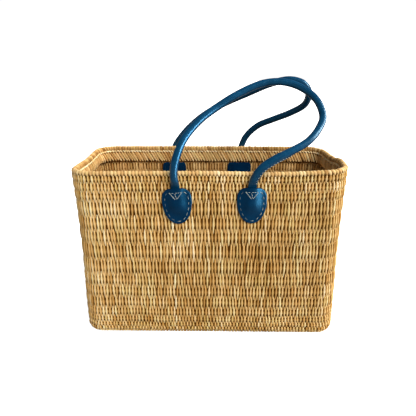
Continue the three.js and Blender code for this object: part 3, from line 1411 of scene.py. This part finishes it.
@dataclass
class RimBorder:
    """The folded-over rim: a wrapped edge, and a row of small ties over a band of slanted slats inside."""

    form: BasketForm
    wrap_rush: Material
    slat_rush: Material
    painted_shade: Material
    wall_top: float = 295.0
    drop: float = 31.0
    band_out: float = 6.35
    band: float = 4.4
    # Strands in each row round the rim.
    strands: int = 216
    # The wraps' arch: how far its foot is over the wall's top, and how far past the border's faces it goes.
    wrap_lift: float = 0.7
    wrap_reach: float = 0.25
    wrap_width: float = 6.1
    wrap_spread: float = 0.05
    wrap_stray: float = 0.04
    wrap_tone: float = 0.52
    wrap_tone_stray: float = 0.09
    wrap_seed: int = 13
    band_rows: tuple[BandRow, ...] = (
        BandRow("rim_slats", 20.5, 22.5, width=5.3, thick=2.3, slant=28.0, tilt=4.0, tone=0.45, seed=15),
        BandRow("rim_ties", 10.2, 6.4, width=3.6, thick=2.6, slant=62.0, tilt=8.0, tone=0.85, seed=17),
    )
    band_spread: float = 0.14
    band_stray: float = 0.07
    band_tone_stray: float = 0.11
    # How far behind the band's inner face its strands' feet are, and the shaded layer.
    band_sink: float = 1.5
    core_sink: float = 1.4
    seed: int = 23

    @property
    def band_in(self) -> float:
        """How far the band's inner face is inside the wall's outer face."""
        return self.band_out + self.band

    def core(self) -> Object:
        """Makes the border's shaded inner layer.

        Returns:
            The piece, a ring under the strands.
        """
        top = self.form.rim_height
        inner = self.band_in - self.core_sink
        # How far inside the wall's outer face each corner of the ring's section is, and its height.
        section = (
            (0.8, self.wall_top + 0.5),
            (self.band_out, self.wall_top + 0.4),
            (self.band_out, top - self.drop),
            (inner, top - self.drop + 0.4),
            (inner, top - 7),
            (inner - 0.4, top - 3),
            (self.band_in / 2, top - 1.2),
            (1.6, top - 3),
        )
        loops = [self.form.loop(z, inset, LOOP_POINTS) for inset, z in reversed(section)]
        return solid("rim_core", *skin(loops, ring=True), self.painted_shade)

    def wrap_spots(self, draw: np.random.Generator) -> Spots:
        """Places the strands that wrap the edge, each arching from outside the wall to inside it.

        Args:
            draw: For the random draws.

        Returns:
            A spot for each strand.
        """
        spots = Spots()
        middle = self.band_in / 2
        foot = self.wall_top + self.wrap_lift
        next_share = 0.002
        for k in range(self.strands):
            share = (k + draw.normal(0, self.wrap_stray)) / self.strands
            place, out = self.form.spot(share, foot, middle)
            along = (self.form.spot(share + next_share, foot, middle)[0] - place).normalized()
            up = out.cross(along).normalized()
            tone = self.wrap_tone + draw.normal(0, self.wrap_tone_stray)
            spots.add(place, up if up.z > 0 else -up, out, middle + self.wrap_reach, tone)
        return spots

    def band_spots(self, draw: np.random.Generator, row: BandRow) -> Spots:
        """Places a row of slanted strands on the band's inner face.

        Args:
            draw: For the random draws.
            row: The row.

        Returns:
            A spot for each strand.
        """
        spots = Spots()
        lean = math.radians(row.slant)
        z = self.form.rim_height - row.depth
        for k in range(self.strands):
            share = (k + draw.normal(0, self.band_stray)) / self.strands
            place, out, rise = self.form.frame(share, z, self.band_in - self.band_sink)
            across = out.cross(rise).normalized()
            lie = rise * math.cos(lean) - across * math.sin(lean)
            spots.add(place, -out, lie, row.length, row.tone + draw.normal(0, self.band_tone_stray))
        return spots

    def build(self, layer: StrandLayer, shapes: Shapes) -> None:
        """Makes the rim's pieces and dresses them.

        Args:
            layer: Lays the strands.
            shapes: Has the strands' shapes.
        """
        draw = np.random.default_rng(self.seed)
        dress(self.core(), Slot.BORDER, "rim_border")
        wraps = layer.lay(
            "rim_wraps",
            self.wrap_spots(draw),
            shapes.wrap,
            self.wrap_width,
            self.form.rim_height - self.wall_top - self.wrap_lift,
            self.wrap_rush,
            spread=self.wrap_spread,
            tilt=0.0,
            seed=self.wrap_seed,
        )
        dress(wraps, Slot.BORDER)
        for row in self.band_rows:
            piece = layer.lay(
                row.name,
                self.band_spots(draw, row),
                shapes.slat,
                row.width,
                row.thick,
                self.slat_rush,
                spread=self.band_spread,
                tilt=row.tilt,
                seed=row.seed,
            )
            dress(piece, Slot.BORDER)


# Leather


@dataclass(frozen=True)
class TabPlace:
    """Where a tab is sewn on, its tilt in degrees, and the top of the patch behind it."""

    name: str
    wall: Wall
    x: float
    tilt: float
    top: float
    patch_top: float
    # From the tab's top down to the place that it tilts round.
    middle: float = 28.5

    def middle_line(self, z: float) -> float:
        """Returns where the tab's tilted middle line is along the wall at a height."""
        return self.x - (z - self.top + self.middle) * math.tan(math.radians(self.tilt))


@dataclass(frozen=True)
class EggCurve:
    """How a plate narrows from its widest place: (1 - t ^ square) ^ rounding, with t going up to reach."""

    reach: float
    square: float
    rounding: float


@dataclass
class LeatherPlate:
    """An egg-shaped plate of leather sewn to a wide wall: a tab outside it, or a backing patch inside it."""

    form: BasketForm
    name: str
    wall: Wall
    x: float
    tilt: float
    top: float
    leather: Material
    thread: Material
    node: str
    # The face that shows.
    shown: Side = Side.OUTSIDE
    width: float = 48.0
    height: float = 62.0
    # The shares of the way down to its widest place and to its middle.
    widest: float = 0.37
    middle: float = 0.46
    shoulder: EggCurve = EggCurve(0.93, 3.2, 0.5)
    bottom: EggCurve = EggCurve(1.0, 2.1, 0.5)
    side_steps: int = 26
    top_steps: int = 10
    thick: float = 2.2
    # How far its back is off the wall, and how far more over the handle's flat end, which fades downwards.
    off: float = 0.35
    dome: float = 5.4
    dome_half_width: float = 13.0
    dome_square: float = 2.8
    dome_start: float = 26.0
    dome_end: float = 52.0
    # How far the line of stitches is inside the edge, and its points down each side.
    stitch_inset: float = 5.0
    stitch_steps: int = 40
    # How far under the triangle's bar that line ends.
    stitch_gap: float = 2.0
    triangle_top: float = 6.8
    triangle_half_width: float = 9.8
    triangle_height: float = 12.0
    triangle_step: float = 1.5
    # How far each way the face's slope is read.
    reach: float = 0.5

    @property
    def middle_down(self) -> float:
        """How far the plate's middle is under its top."""
        return self.height * self.middle

    def half_width(self, down: float) -> float:
        """Works out half the plate's width.

        Args:
            down: The distance down from its top.

        Returns:
            Half its width there.
        """
        share = down / self.height
        above = share < self.widest
        t = abs(share - self.widest) / (self.widest if above else 1 - self.widest)
        curve = self.shoulder if above else self.bottom
        return self.width / 2 * max(1 - (curve.reach * min(t, 1.0)) ** curve.square, 0.0) ** curve.rounding

    def outline(self, side_steps: int) -> list[tuple[float, float]]:
        """Works out the plate's outline.

        Args:
            side_steps: How many steps go down each side.

        Returns:
            Its points as (x, down), from the top corner down one side, up the other and along the top.
        """
        side = []
        for k in range(side_steps + 1):
            down = self.height * (1 - math.cos(math.pi * k / side_steps)) / 2
            side.append((self.half_width(down), down))
        other = [(-x, down) for x, down in reversed(side[:-1])]
        corner = side[0][0]
        top = [(corner * (2 * k / self.top_steps - 1), 0.0) for k in range(1, self.top_steps)]
        return side + other + top

    def rise(self, x: float, down: float) -> float:
        """Works out how far the plate stands off the wall over the handle's flat end.

        Args:
            x: From the plate's middle line.
            down: From its top.

        Returns:
            The distance.
        """
        across = math.exp(-((abs(x) / self.dome_half_width) ** self.dome_square))
        return self.dome * across * (1 - ease((down - self.dome_start) / (self.dome_end - self.dome_start)))

    def on_wall(self, x: float, down: float, extra: float) -> Vector:
        """Finds a place on the plate.

        Args:
            x: From the plate's middle line.
            down: From its top.
            extra: From its face that lies towards the basket's middle, outwards.

        Returns:
            The place.
        """
        turn = math.radians(self.tilt)
        dz = self.middle_down - down
        px = self.x + x * math.cos(turn) - dz * math.sin(turn)
        pz = self.top - self.middle_down + x * math.sin(turn) + dz * math.cos(turn)
        y = self.form.wall_face(px, pz) + self.off + self.rise(x, down) + extra
        return Vector((px, self.wall.value * y, pz))

    def on_face(self, x: float, down: float) -> tuple[Vector, Vector]:
        """Finds a place on the plate's shown face and the way that it faces.

        Args:
            x: From the plate's middle line.
            down: From its top.

        Returns:
            The place and the direction out of the leather.
        """
        outer = self.shown is Side.OUTSIDE
        extra = self.thick if outer else 0.0
        reach = self.reach
        across = self.on_wall(x + reach, down, extra) - self.on_wall(x - reach, down, extra)
        drop = self.on_wall(x, down + reach, extra) - self.on_wall(x, down - reach, extra)
        face = across.cross(drop).normalized()
        outward = self.wall.value * (1 if outer else -1)
        return self.on_wall(x, down, extra), face if face.y * outward > 0 else -face

    def plate(self) -> Object:
        """Makes the leather, domed over the handle's end, with rounded edges.

        Returns:
            The piece.
        """
        outline = self.outline(self.side_steps)
        middle = self.middle_down
        # Each ring's share of the way out to the edge, and its distance from the plate's back.
        rings = [
            *[(share, 0.0) for share in (0.3, 0.7, 0.95)],
            (0.985, 0.12),
            (1.0, 0.5),
            (1.003, self.thick - 1.3),
            (0.992, self.thick - 0.6),
            (0.972, self.thick - 0.15),
            *[(share, self.thick) for share in (0.945, 0.9, 0.8, 0.7, 0.6, 0.5, 0.4, 0.3, 0.2, 0.1)],
        ]
        loops = [
            [self.on_wall(x * share, middle + (down - middle) * share, extra) for x, down in outline]
            for share, extra in rings
        ]
        if self.wall is Wall.FRONT:
            loops = [loop[::-1] for loop in loops]
        return solid(self.name, *skin(loops), self.leather)

    def edge_line(self) -> SewnLine:
        """Works out the line of stitches inside the plate's edge.

        Returns:
            The line, round the plate's sides and bottom.
        """
        middle = self.middle_down
        across = 1 - self.stitch_inset / (self.width / 2)
        drop = 1 - self.stitch_inset / (self.height - middle)
        line = []
        for x, down in self.outline(self.stitch_steps):
            lowered = middle + (down - middle) * drop
            if down > 0 and lowered > self.triangle_top + self.stitch_gap:
                line.append(self.on_face(x * across, lowered))
        return line

    def triangle_lines(self) -> list[SewnLine]:
        """Works out the lines sewn across the plate's top: a bar, and a triangle that points down from it.

        Returns:
            The lines.
        """
        # Each run's ends: x as a share of the triangle's half width, and down from its bar in its height.
        runs = (
            ((-1.0, 0.0), (-0.5, 0.0)),
            ((0.1, 0.0), (0.85, 0.0)),
            ((1.42, 0.0583), (1.5, 0.1)),
            ((-0.9, 0.1), (-0.22, 0.82)),
            ((0.9, 0.1), (0.2, 0.8)),
            ((-0.1, 0.2), (0.05, 0.7)),
        )
        sizes = Vector((self.triangle_half_width, self.triangle_height))
        lines = []
        for ends in runs:
            start, end = (Vector(at) * sizes + Vector((0, self.triangle_top)) for at in ends)
            steps = max(3, round((end - start).length / self.triangle_step))
            lines.append([self.on_face(*start.lerp(end, k / steps)) for k in range(steps + 1)])
        return lines


@dataclass
class HandleTab(LeatherPlate):
    """A tab outside the wall, over a handle's flat end, with its stitched edge and triangle."""

    # The thread of its left edge, painted dark as shade on the tab's shaded side.
    painted_shade_thread: Material | None = None
    edge_stitches: Stitching = Stitching(5.6, 8.2)
    top_stitches: Stitching = Stitching(3.0, 2.6)

    def build(self, sewing: StitchLine, shapes: Shapes) -> None:
        """Makes the tab's pieces and dresses them.

        Args:
            sewing: Sews the stitches.
            shapes: Has the stitch's shape.
        """
        dress(self.plate(), Slot.TAB, self.node)
        edge = self.edge_line()
        half = len(edge) // 2
        for part, lines, thread, sizes in (
            ("right", [edge[:half]], self.thread, self.edge_stitches),
            ("left", [edge[half:]], self.painted_shade_thread, self.edge_stitches),
            ("top", self.triangle_lines(), self.thread, self.top_stitches),
        ):
            sewn = sewing.sew(f"{self.name}_{part}_stitches", lines, shapes.stitch, thread, sizes)
            dress(sewn, Slot.TAB)


@dataclass
class BackingPatch(LeatherPlate):
    """A patch inside the wall, behind a tab, sewn with the tab."""

    shown: Side = Side.INSIDE
    shoulder: EggCurve = EggCurve(0.9, 6.0, 0.25)
    thick: float = 2.0
    dome: float = 0.0
    off: float = -8.35
    edge_stitches: Stitching = Stitching(3.1, 4.9, 0.95)

    def build(self, sewing: StitchLine, shapes: Shapes) -> None:
        """Makes the patch's pieces and dresses them.

        Args:
            sewing: Sews the stitches.
            shapes: Has the stitch's shape.
        """
        dress(self.plate(), Slot.TAB, self.node)
        name = self.name + "_stitches"
        sewn = sewing.sew(name, [self.edge_line()], shapes.stitch, self.thread, self.edge_stitches)
        dress(sewn, Slot.TAB)


@dataclass(frozen=True)
class SeamTurn:
    """The way that a handle's seam points at a share of its length."""

    share: float
    way: Point


@dataclass(frozen=True)
class HandleStation:
    """One place along a handle, with the ways along it, towards its seam and across it."""

    centre: Vector
    tangent: Vector
    seam: Vector
    across: Vector
    # From 0 for the flat tongue to 1 for the full roll.
    roundness: float


@dataclass
class RolledHandle:
    """A handle of leather rolled round a cord, sewn along one side, with a flat tongue at each end."""

    form: BasketForm
    name: str
    wall: Wall
    ends: tuple[TabPlace, ...]
    route: tuple[Point, ...]
    seam: tuple[SeamTurn, ...]
    leather: Material
    thread: Material
    node: str
    radius: float = 6.3
    tongue_half_width: float = 7.2
    tongue_half_thick: float = 2.0
    tongue_length: float = 28.0
    tongue_gap: float = 0.45
    # How long the tongue takes to grow into the full roll.
    roll_length: float = 18.0
    # The seam's flange: its height over the roll, half its thickness, and how far up it is sewn.
    flange: float = 1.1
    flange_half_thick: float = 1.5
    flange_sewn: float = 0.45
    # The shares of the flange's height and half thickness, from one side of its section to the other.
    flange_section: tuple[tuple[float, float], ...] = (
        (0.35, -1.0),
        (0.8, -0.95),
        (1.0, -0.6),
        (0.96, 0.0),
        (1.0, 0.6),
        (0.8, 0.95),
        (0.35, 1.0),
    )
    # The flange grows from this roundness, and is sewn once it has grown by this share.
    flange_start: float = 0.5
    sewn_from: float = 0.3
    stitches: Stitching = Stitching(3.2, 5.6)
    step: float = 3.0
    curve_steps: int = 24
    section_steps: int = 24
    # How far each way the line's direction is read.
    reach: float = 2.0

    def curve(self) -> np.ndarray:
        """Works out the handle's line, a smooth curve through its points.

        Returns:
            Closely spaced points, from one tongue's end to the other's.
        """
        left, right = (self.tongue(tab) for tab in self.ends)
        knots = np.array([*left, *self.route, *reversed(right)], float)
        before, after = 2 * knots[0] - knots[1], 2 * knots[-1] - knots[-2]
        knots = np.vstack([before, knots, after])
        line = []
        for p0, p1, p2, p3 in zip(knots, knots[1:], knots[2:], knots[3:]):
            d0, d1, d2 = (math.sqrt(np.linalg.norm(b - a)) for a, b in ((p0, p1), (p1, p2), (p2, p3)))
            leaving = d1 * ((p1 - p0) / d0 - (p2 - p0) / (d0 + d1) + (p2 - p1) / d1)
            arriving = d1 * ((p2 - p1) / d1 - (p3 - p1) / (d1 + d2) + (p3 - p2) / d2)
            for t in np.linspace(0, 1, self.curve_steps, endpoint=False):
                line.append(glide(p1, p2 - p1, leaving, arriving, t))
        line.append(knots[-2])
        return np.array(line)

    def tongue(self, tab: TabPlace) -> list[Point]:
        """Works out the middle line of the tongue under a tab.

        Args:
            tab: The tab.

        Returns:
            Three points, from the tongue's end up to the tab's top.
        """
        line = []
        for share in (1.0, 0.5, 0.0):
            z = tab.top - share * self.tongue_length
            x = tab.middle_line(z)
            y = self.form.wall_face(x, z) + self.tongue_gap + self.tongue_half_thick
            line.append((x, self.wall.value * y, z))
        return line

    def seam_way(self, share: float) -> Vector:
        """Works out the way that the seam points, before it is squared to the line.

        Args:
            share: The share of the handle's length.

        Returns:
            The way there.
        """
        for a, b in zip(self.seam, self.seam[1:]):
            if share <= b.share:
                return Vector(a.way).lerp(Vector(b.way), ease((share - a.share) / (b.share - a.share)))
        return Vector(self.seam[-1].way)

    def section(self, swell: float) -> list[tuple[float, float]]:
        """Works out the roll's section, with the seam's flange.

        Args:
            swell: How far the flange has grown, from 0 to 1.

        Returns:
            Its points in order round it, as (towards the seam, across).
        """
        half = self.flange_half_thick
        start = math.asin(half / self.radius)
        points = []
        for k in range(self.section_steps + 1):
            angle = start + (math.tau - 2 * start) * k / self.section_steps
            points.append((self.radius * math.cos(angle), self.radius * math.sin(angle)))
        edge = self.radius * math.cos(start)
        height = self.radius + self.flange * swell - edge
        points += [(edge + height * up, half * side) for up, side in self.flange_section]
        return points

    def stations(self) -> list[HandleStation]:
        """Works out evenly spaced stations along the handle.

        Returns:
            The stations, from one tongue's end to the other's.
        """
        line = self.curve()
        lengths = np.concatenate([[0], np.cumsum(np.linalg.norm(np.diff(line, axis=0), axis=1))])
        total = lengths[-1]
        count = int(total / self.step)
        made = []
        for k in range(count + 1):
            at = total * k / count
            here, back, ahead = (
                Vector([np.interp(np.clip(at + d, 0, total), lengths, line[:, i]) for i in range(3)])
                for d in (0, -self.reach, self.reach)
            )
            tangent = (ahead - back).normalized()
            way = self.seam_way(k / count)
            way = (way - tangent * way.dot(tangent)).normalized()
            roundness = ease((min(at, total - at) - self.tongue_length) / self.roll_length)
            made.append(HandleStation(here, tangent, way, tangent.cross(way), roundness))
        return made

    def flattened(self, at: HandleStation, points: Sequence[tuple[float, float]]) -> list[Vector]:
        """Sets points of the section at a station, pressed flat where the tongue starts.

        Args:
            at: The station.
            points: The points, as (towards the seam, across).

        Returns:
            Their places.
        """
        level = Vector((0, self.wall.value, 0))
        out = (level - at.tangent * level.dot(at.tangent)).normalized()
        wide = at.tangent.cross(out)
        thinning = 1 + (self.tongue_half_thick / self.radius - 1) * (1 - at.roundness)
        widening = 1 + (self.tongue_half_width / self.radius - 1) * (1 - at.roundness)
        places = []
        for towards, across in points:
            offset = at.seam * towards + at.across * across
            places.append(at.centre + out * offset.dot(out) * thinning + wide * offset.dot(wide) * widening)
        return places

    def build(self, sewing: StitchLine, shapes: Shapes) -> None:
        """Makes the roll and its seam's stitches and dresses them.

        Args:
            sewing: Sews the stitches.
            shapes: Has the stitch's shape.
        """
        sides = (1, -1)
        sewn_height = self.radius + self.flange * self.flange_sewn
        seam = [(sewn_height, side * self.flange_half_thick) for side in sides]
        loops = []
        lines: tuple[SewnLine, SewnLine] = ([], [])
        for at in self.stations():
            swell = max(0.0, (at.roundness - self.flange_start) / (1 - self.flange_start))
            loops.append(self.flattened(at, self.section(swell)))
            if swell > self.sewn_from:
                for line, place, side in zip(lines, self.flattened(at, seam), sides):
                    line.append((place, at.across * side))
        dress(solid(self.name, *skin(loops), self.leather), Slot.HANDLE, self.node)
        sewn = sewing.sew(self.name + "_stitches", lines, shapes.stitch, self.thread, self.stitches)
        dress(sewn, Slot.HANDLE)


# Studio


@dataclass(frozen=True)
class Lamp:
    """A broad soft light that shines from one direction and doesn't show in gloss."""

    name: str
    towards: Point
    strength: float
    # The width of the light as seen from the tote, in degrees.
    softness: float
    colour: Colour = (1.0, 1.0, 1.0)


@dataclass(frozen=True)
class Card:
    """A bright card that shows in the gloss of some pieces and lights nothing else."""

    name: str
    place: Point
    size: tuple[float, float]
    aim: Point
    watts: float
    pieces: tuple[str, ...]
    colour: Colour = (0.5, 0.8, 1.0)


@dataclass
class Studio:
    """A pale floor, soft lights, and a camera at the photo's angle."""

    # The camera's place, and its turns in degrees.
    eye: Point = (12.3, -721.6, 466.5)
    pitch: float = 14.32
    yaw: float = 1.18
    roll: float = -0.25
    # In the picture's pixels: its width, the focal length, and the line of sight's height over its middle.
    picture: int = 416
    focal_pixels: float = 405.9
    centre_rise: float = 39.3
    sensor: float = 36.0
    nearest: float = 10.0
    lamps: tuple[Lamp, ...] = (
        Lamp("key", (0.42, -0.62, 0.66), 3.7, 40.0, (1.0, 0.98, 0.95)),
        Lamp("window", (0.85, 0.3, 0.45), 4.4, 20.0),
    )
    cards: tuple[Card, ...] = (
        Card("low handle card", (64, -162, 306), (46, 160), (-60, -140, 325), 0.9, ("front_handle_roll",)),
        Card("high handle card", (92, -128, 372), (44, 70), (-24, -110, 400), 0.35, ("front_handle_roll",)),
        Card(
            "side card",
            (560, -20, 520),
            (90, 300),
            (185, -45, 375),
            3.0,
            ("front_handle_roll", "back_handle_roll"),
            (0.8, 0.95, 1.0),
        ),
        Card(
            "tab card",
            (645, -260, 230),
            (620, 340),
            (-30, -95, 300),
            30.0,
            ("front_left_tab", "front_right_tab"),
            (0.7, 0.9, 1.0),
        ),
    )
    # How bright the sky and the floor are to the camera and to everything else.
    sky_seen: float = 1.05
    sky_light: float = 0.18
    floor_seen: float = 0.95
    floor_bounce: float = 0.35
    floor_glow: float = 0.8
    floor_roughness: float = 0.9
    floor_reach: float = 12000.0

    def camera(self) -> None:
        """Makes the camera, with the picture's middle below the line of sight as in the photo."""
        data = bpy.data.cameras.new("camera")
        data.sensor_width = self.sensor
        data.lens = self.focal_pixels / self.picture * self.sensor
        data.shift_y = -self.centre_rise / self.picture
        data.clip_start = self.nearest * MM
        pitch, yaw, roll = (math.radians(a) for a in (self.pitch, self.yaw, self.roll))
        level = Vector((-math.sin(yaw), math.cos(yaw), 0))
        right = Vector((math.cos(yaw), math.sin(yaw), 0))
        sight = level * math.cos(pitch) - UP * math.sin(pitch)
        above = level * math.sin(pitch) + UP * math.cos(pitch)
        across = right * math.cos(roll) + above * math.sin(roll)
        upward = above * math.cos(roll) - right * math.sin(roll)
        turned = Matrix((across, upward, -sight)).transposed().to_4x4()
        made = new_object("camera", data)
        made.matrix_world = Matrix.Translation(Vector(self.eye) * MM) @ turned
        bpy.context.scene.camera = made

    def lights(self) -> None:
        """Makes the lamps and a white sky that lights less than it shows."""
        for lamp in self.lamps:
            data = bpy.data.lights.new(lamp.name, "SUN")
            data.energy = lamp.strength
            data.angle = math.radians(lamp.softness)
            data.color = lamp.colour
            made = new_object(lamp.name, data)
            made.rotation_euler = Vector(lamp.towards).to_track_quat("Z", "Y").to_euler()
            made.visible_glossy = False
        world = bpy.data.worlds.new("sky")
        bpy.context.scene.world = world
        world.use_nodes = True
        world.node_tree.nodes.clear()
        graph = Graph(world.node_tree)
        seen = graph.add("ShaderNodeLightPath").outputs["Is Camera Ray"]
        strength = graph.maths("MULTIPLY_ADD", seen, self.sky_seen - self.sky_light, self.sky_light)
        sky = graph.add("ShaderNodeBackground", Color=(1, 1, 1, 1), Strength=strength)
        graph.add("ShaderNodeOutputWorld", Surface=sky.outputs[0])

    def set_cards(self) -> None:
        """Sets up the cards, each for its pieces alone."""
        for card in self.cards:
            data = bpy.data.lights.new(card.name, "AREA")
            data.shape = "RECTANGLE"
            data.size, data.size_y = (side * MM for side in card.size)
            data.energy = card.watts
            data.color = card.colour
            made = new_object(card.name, data)
            made.location = Vector(card.place) * MM
            made.rotation_euler = (Vector(card.place) - Vector(card.aim)).to_track_quat("Z", "Y").to_euler()
            made.visible_diffuse = False
            made.visible_camera = False
            shown = bpy.data.collections.new(card.name)
            for piece in card.pieces:
                shown.objects.link(bpy.data.objects[piece])
            made.light_linking.receiver_collection = shown

    def floor(self) -> None:
        """Makes the pale floor, which throws less light up than it shows."""
        mesh = bpy.data.meshes.new("floor")
        reach = self.floor_reach * MM
        corners = [(-reach, -reach, 0), (reach, -reach, 0), (reach, reach, 0), (-reach, reach, 0)]
        mesh.from_pydata(corners, [], [(0, 1, 2, 3)])
        paint = Paint("floor paint")
        seen = paint.add("ShaderNodeLightPath").outputs["Is Camera Ray"]
        grey = paint.maths("MULTIPLY_ADD", seen, self.floor_seen - self.floor_bounce, self.floor_bounce)
        finish = paint.finish(
            Base_Color=grey,
            Roughness=self.floor_roughness,
            Specular_IOR_Level=0.0,
            Emission_Color=(1, 1, 1, 1),
            Emission_Strength=paint.maths("MULTIPLY", seen, self.floor_glow),
        )
        mesh.materials.append(finish)
        new_object("floor", mesh)

    def build(self) -> None:
        """Makes the camera, the lights and the floor, and keeps colours as they are lit."""
        self.camera()
        self.lights()
        self.floor()
        bpy.context.scene.view_settings.view_transform = "Standard"


# The tote's own colours, routes and places

# Rush that the sun has bleached, from the darkest tone to the palest.
BLEACHED = (
    (0.20, 0.095, 0.024),
    (0.42, 0.236, 0.083),
    (0.64, 0.405, 0.170),
    (0.80, 0.575, 0.290),
    (0.95, 0.790, 0.520),
)
# The handles' lines between their tabs.
FRONT_ROUTE = (
    (-53.4, -107.6, 288),
    (-54, -112, 304),
    (-51, -111, 323),
    (-39, -97, 353),
    (-14, -74, 381),
    (19, -51, 403),
    (54, -32, 422),
    (92, -16, 436),
    (127, -9, 438),
    (159, -11, 428),
    (183, -22, 408),
    (191.5, -36, 382),
    (181, -53, 363),
    (160, -76, 347),
    (129, -98, 335),
    (102.5, -110, 325),
    (83, -113.6, 312),
    (71.8, -108.8, 293),
)
BACK_ROUTE = (
    (-76, 107.6, 288),
    (-73, 111, 303),
    (-59, 104, 325),
    (-33, 90, 353.5),
    (-7, 73.5, 375),
    (26, 55, 395),
    (69, 33, 416),
    (111, 14, 435),
    (142, 7, 441),
    (166, 10, 434),
    (179, 24, 417),
    (177, 43, 395),
    (155, 65, 377),
    (127, 82, 363),
    (96, 98, 347),
    (74, 107, 324),
    (65, 111, 303),
    (62, 107.6, 289),
)
# The ways that the handles' seams point.
FRONT_SEAM = (
    SeamTurn(0.0, (0, 1, 0)),
    SeamTurn(0.7, (0, 1, -0.1)),
    SeamTurn(0.78, (0.1, 0.6, -0.8)),
    SeamTurn(0.86, (0.5, -0.3, -0.8)),
    SeamTurn(0.92, (0.8, -0.6, -0.2)),
    SeamTurn(1.0, (0.75, -0.65, 0)),
)
BACK_SEAM = (
    SeamTurn(0.0, (0, 1, 0)),
    SeamTurn(1.0, (0, 1, -0.1)),
)
# The tabs, with the patches behind them.
TABS = (
    TabPlace("front_left", Wall.FRONT, -50.5, 4.2, 277.0, 269.5),
    TabPlace("front_right", Wall.FRONT, 69.7, 0.0, 278.3, 269.5),
    TabPlace("back_left", Wall.BACK, -74.0, -1.0, 277.0, 271.5),
    TabPlace("back_right", Wall.BACK, 60.0, 1.0, 277.0, 271.5),
)


def main() -> None:
    """Loads the frame and builds the tote's pieces in order."""
    logging.basicConfig(level=logging.INFO, format="%(name)s: %(message)s")
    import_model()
    studio = Studio()
    studio.build()

    form = BasketForm()
    shapes = Shapes()
    layer = StrandLayer()
    sewing = StitchLine()
    rush = RushFinish("golden rush", shift=0.025).material()
    # A darker copy of the rush for the inside, whose whole tone is lowered as painted shade.
    shaded_inside_rush = RushFinish("inside rush", BLEACHED, shift=-0.28, crest=0.6).material()
    # The wraps darken towards their ends inside the rim: painted shade.
    wrap_rush = RushFinish("wrapped rush", BLEACHED, shift=0.02, end_shift=-0.3, crest=0.3).material()
    # The border's slats are paler at their lower ends and darker at their upper ends, which is painted shade
    # under the ties.
    slat_rush = RushFinish("border rush", BLEACHED, start_shift=0.15, end_shift=-0.05, crest=0.25).material()
    # The layers between the strands are painted dark as shade; the border's is paler, for softer painted shade
    # under its band.
    painted_shade = PaintedShadeFinish("shaded rush").material()
    border_painted_shade = PaintedShadeFinish("border pith", dark=(0.09, 0.04, 0.010), light=(0.22, 0.11, 0.03)).material()
    roll = LeatherFinish(
        "rolled blue leather",
        deep=(0.0012, 0.032, 0.080),
        bright=(0.0026, 0.051, 0.122),
        gloss_tint=(0.4, 0.8, 1.0),
        roughness=0.27,
    ).material()
    flat = LeatherFinish(
        "flat blue leather",
        deep=(0.0005, 0.0125, 0.042),
        bright=(0.0008, 0.020, 0.064),
        gloss_tint=(0.06, 0.6, 1.0),
        roughness=0.42,
        relief=0.6,
    ).material()
    cream = ThreadFinish("cream thread", colour=(0.63, 0.68, 0.62), shade=(0.41, 0.45, 0.41)).material()
    # The thread on the tabs' left edges is painted dark: painted shade on the side away from the light.
    painted_shade_thread = ThreadFinish("worn thread", colour=(0.20, 0.24, 0.25), shade=(0.10, 0.13, 0.15)).material()
    navy = ThreadFinish("navy thread", colour=(0.006, 0.035, 0.09), shade=(0.003, 0.02, 0.05)).material()

    Weave(form, rush, shaded_inside_rush, painted_shade).build(layer, shapes)
    RimBorder(form, wrap_rush, slat_rush, border_painted_shade).build(layer, shapes)
    for side, wall, route, seam in (
        ("front", Wall.FRONT, FRONT_ROUTE, FRONT_SEAM),
        ("back", Wall.BACK, BACK_ROUTE, BACK_SEAM),
    ):
        name, node = f"{side}_handle_roll", f"handle_{side}"
        ends = tuple(place for place in TABS if place.wall is wall)
        RolledHandle(form, name, wall, ends, route, seam, roll, cream, node).build(sewing, shapes)
    for place in TABS:
        name, node = f"{place.name}_tab", f"tab_{place.name}"
        tab = HandleTab(form, name, place.wall, place.x, place.tilt, place.top, flat, cream, node, painted_shade_thread=painted_shade_thread)
        tab.build(sewing, shapes)
        name, node = f"{place.name}_patch", f"patch_{place.name}"
        patch = BackingPatch(form, name, place.wall, place.x, 0.0, place.patch_top, flat, navy, node)
        patch.build(sewing, shapes)
    shapes.clear()
    studio.set_cards()


if __name__ == "__main__":
    main()
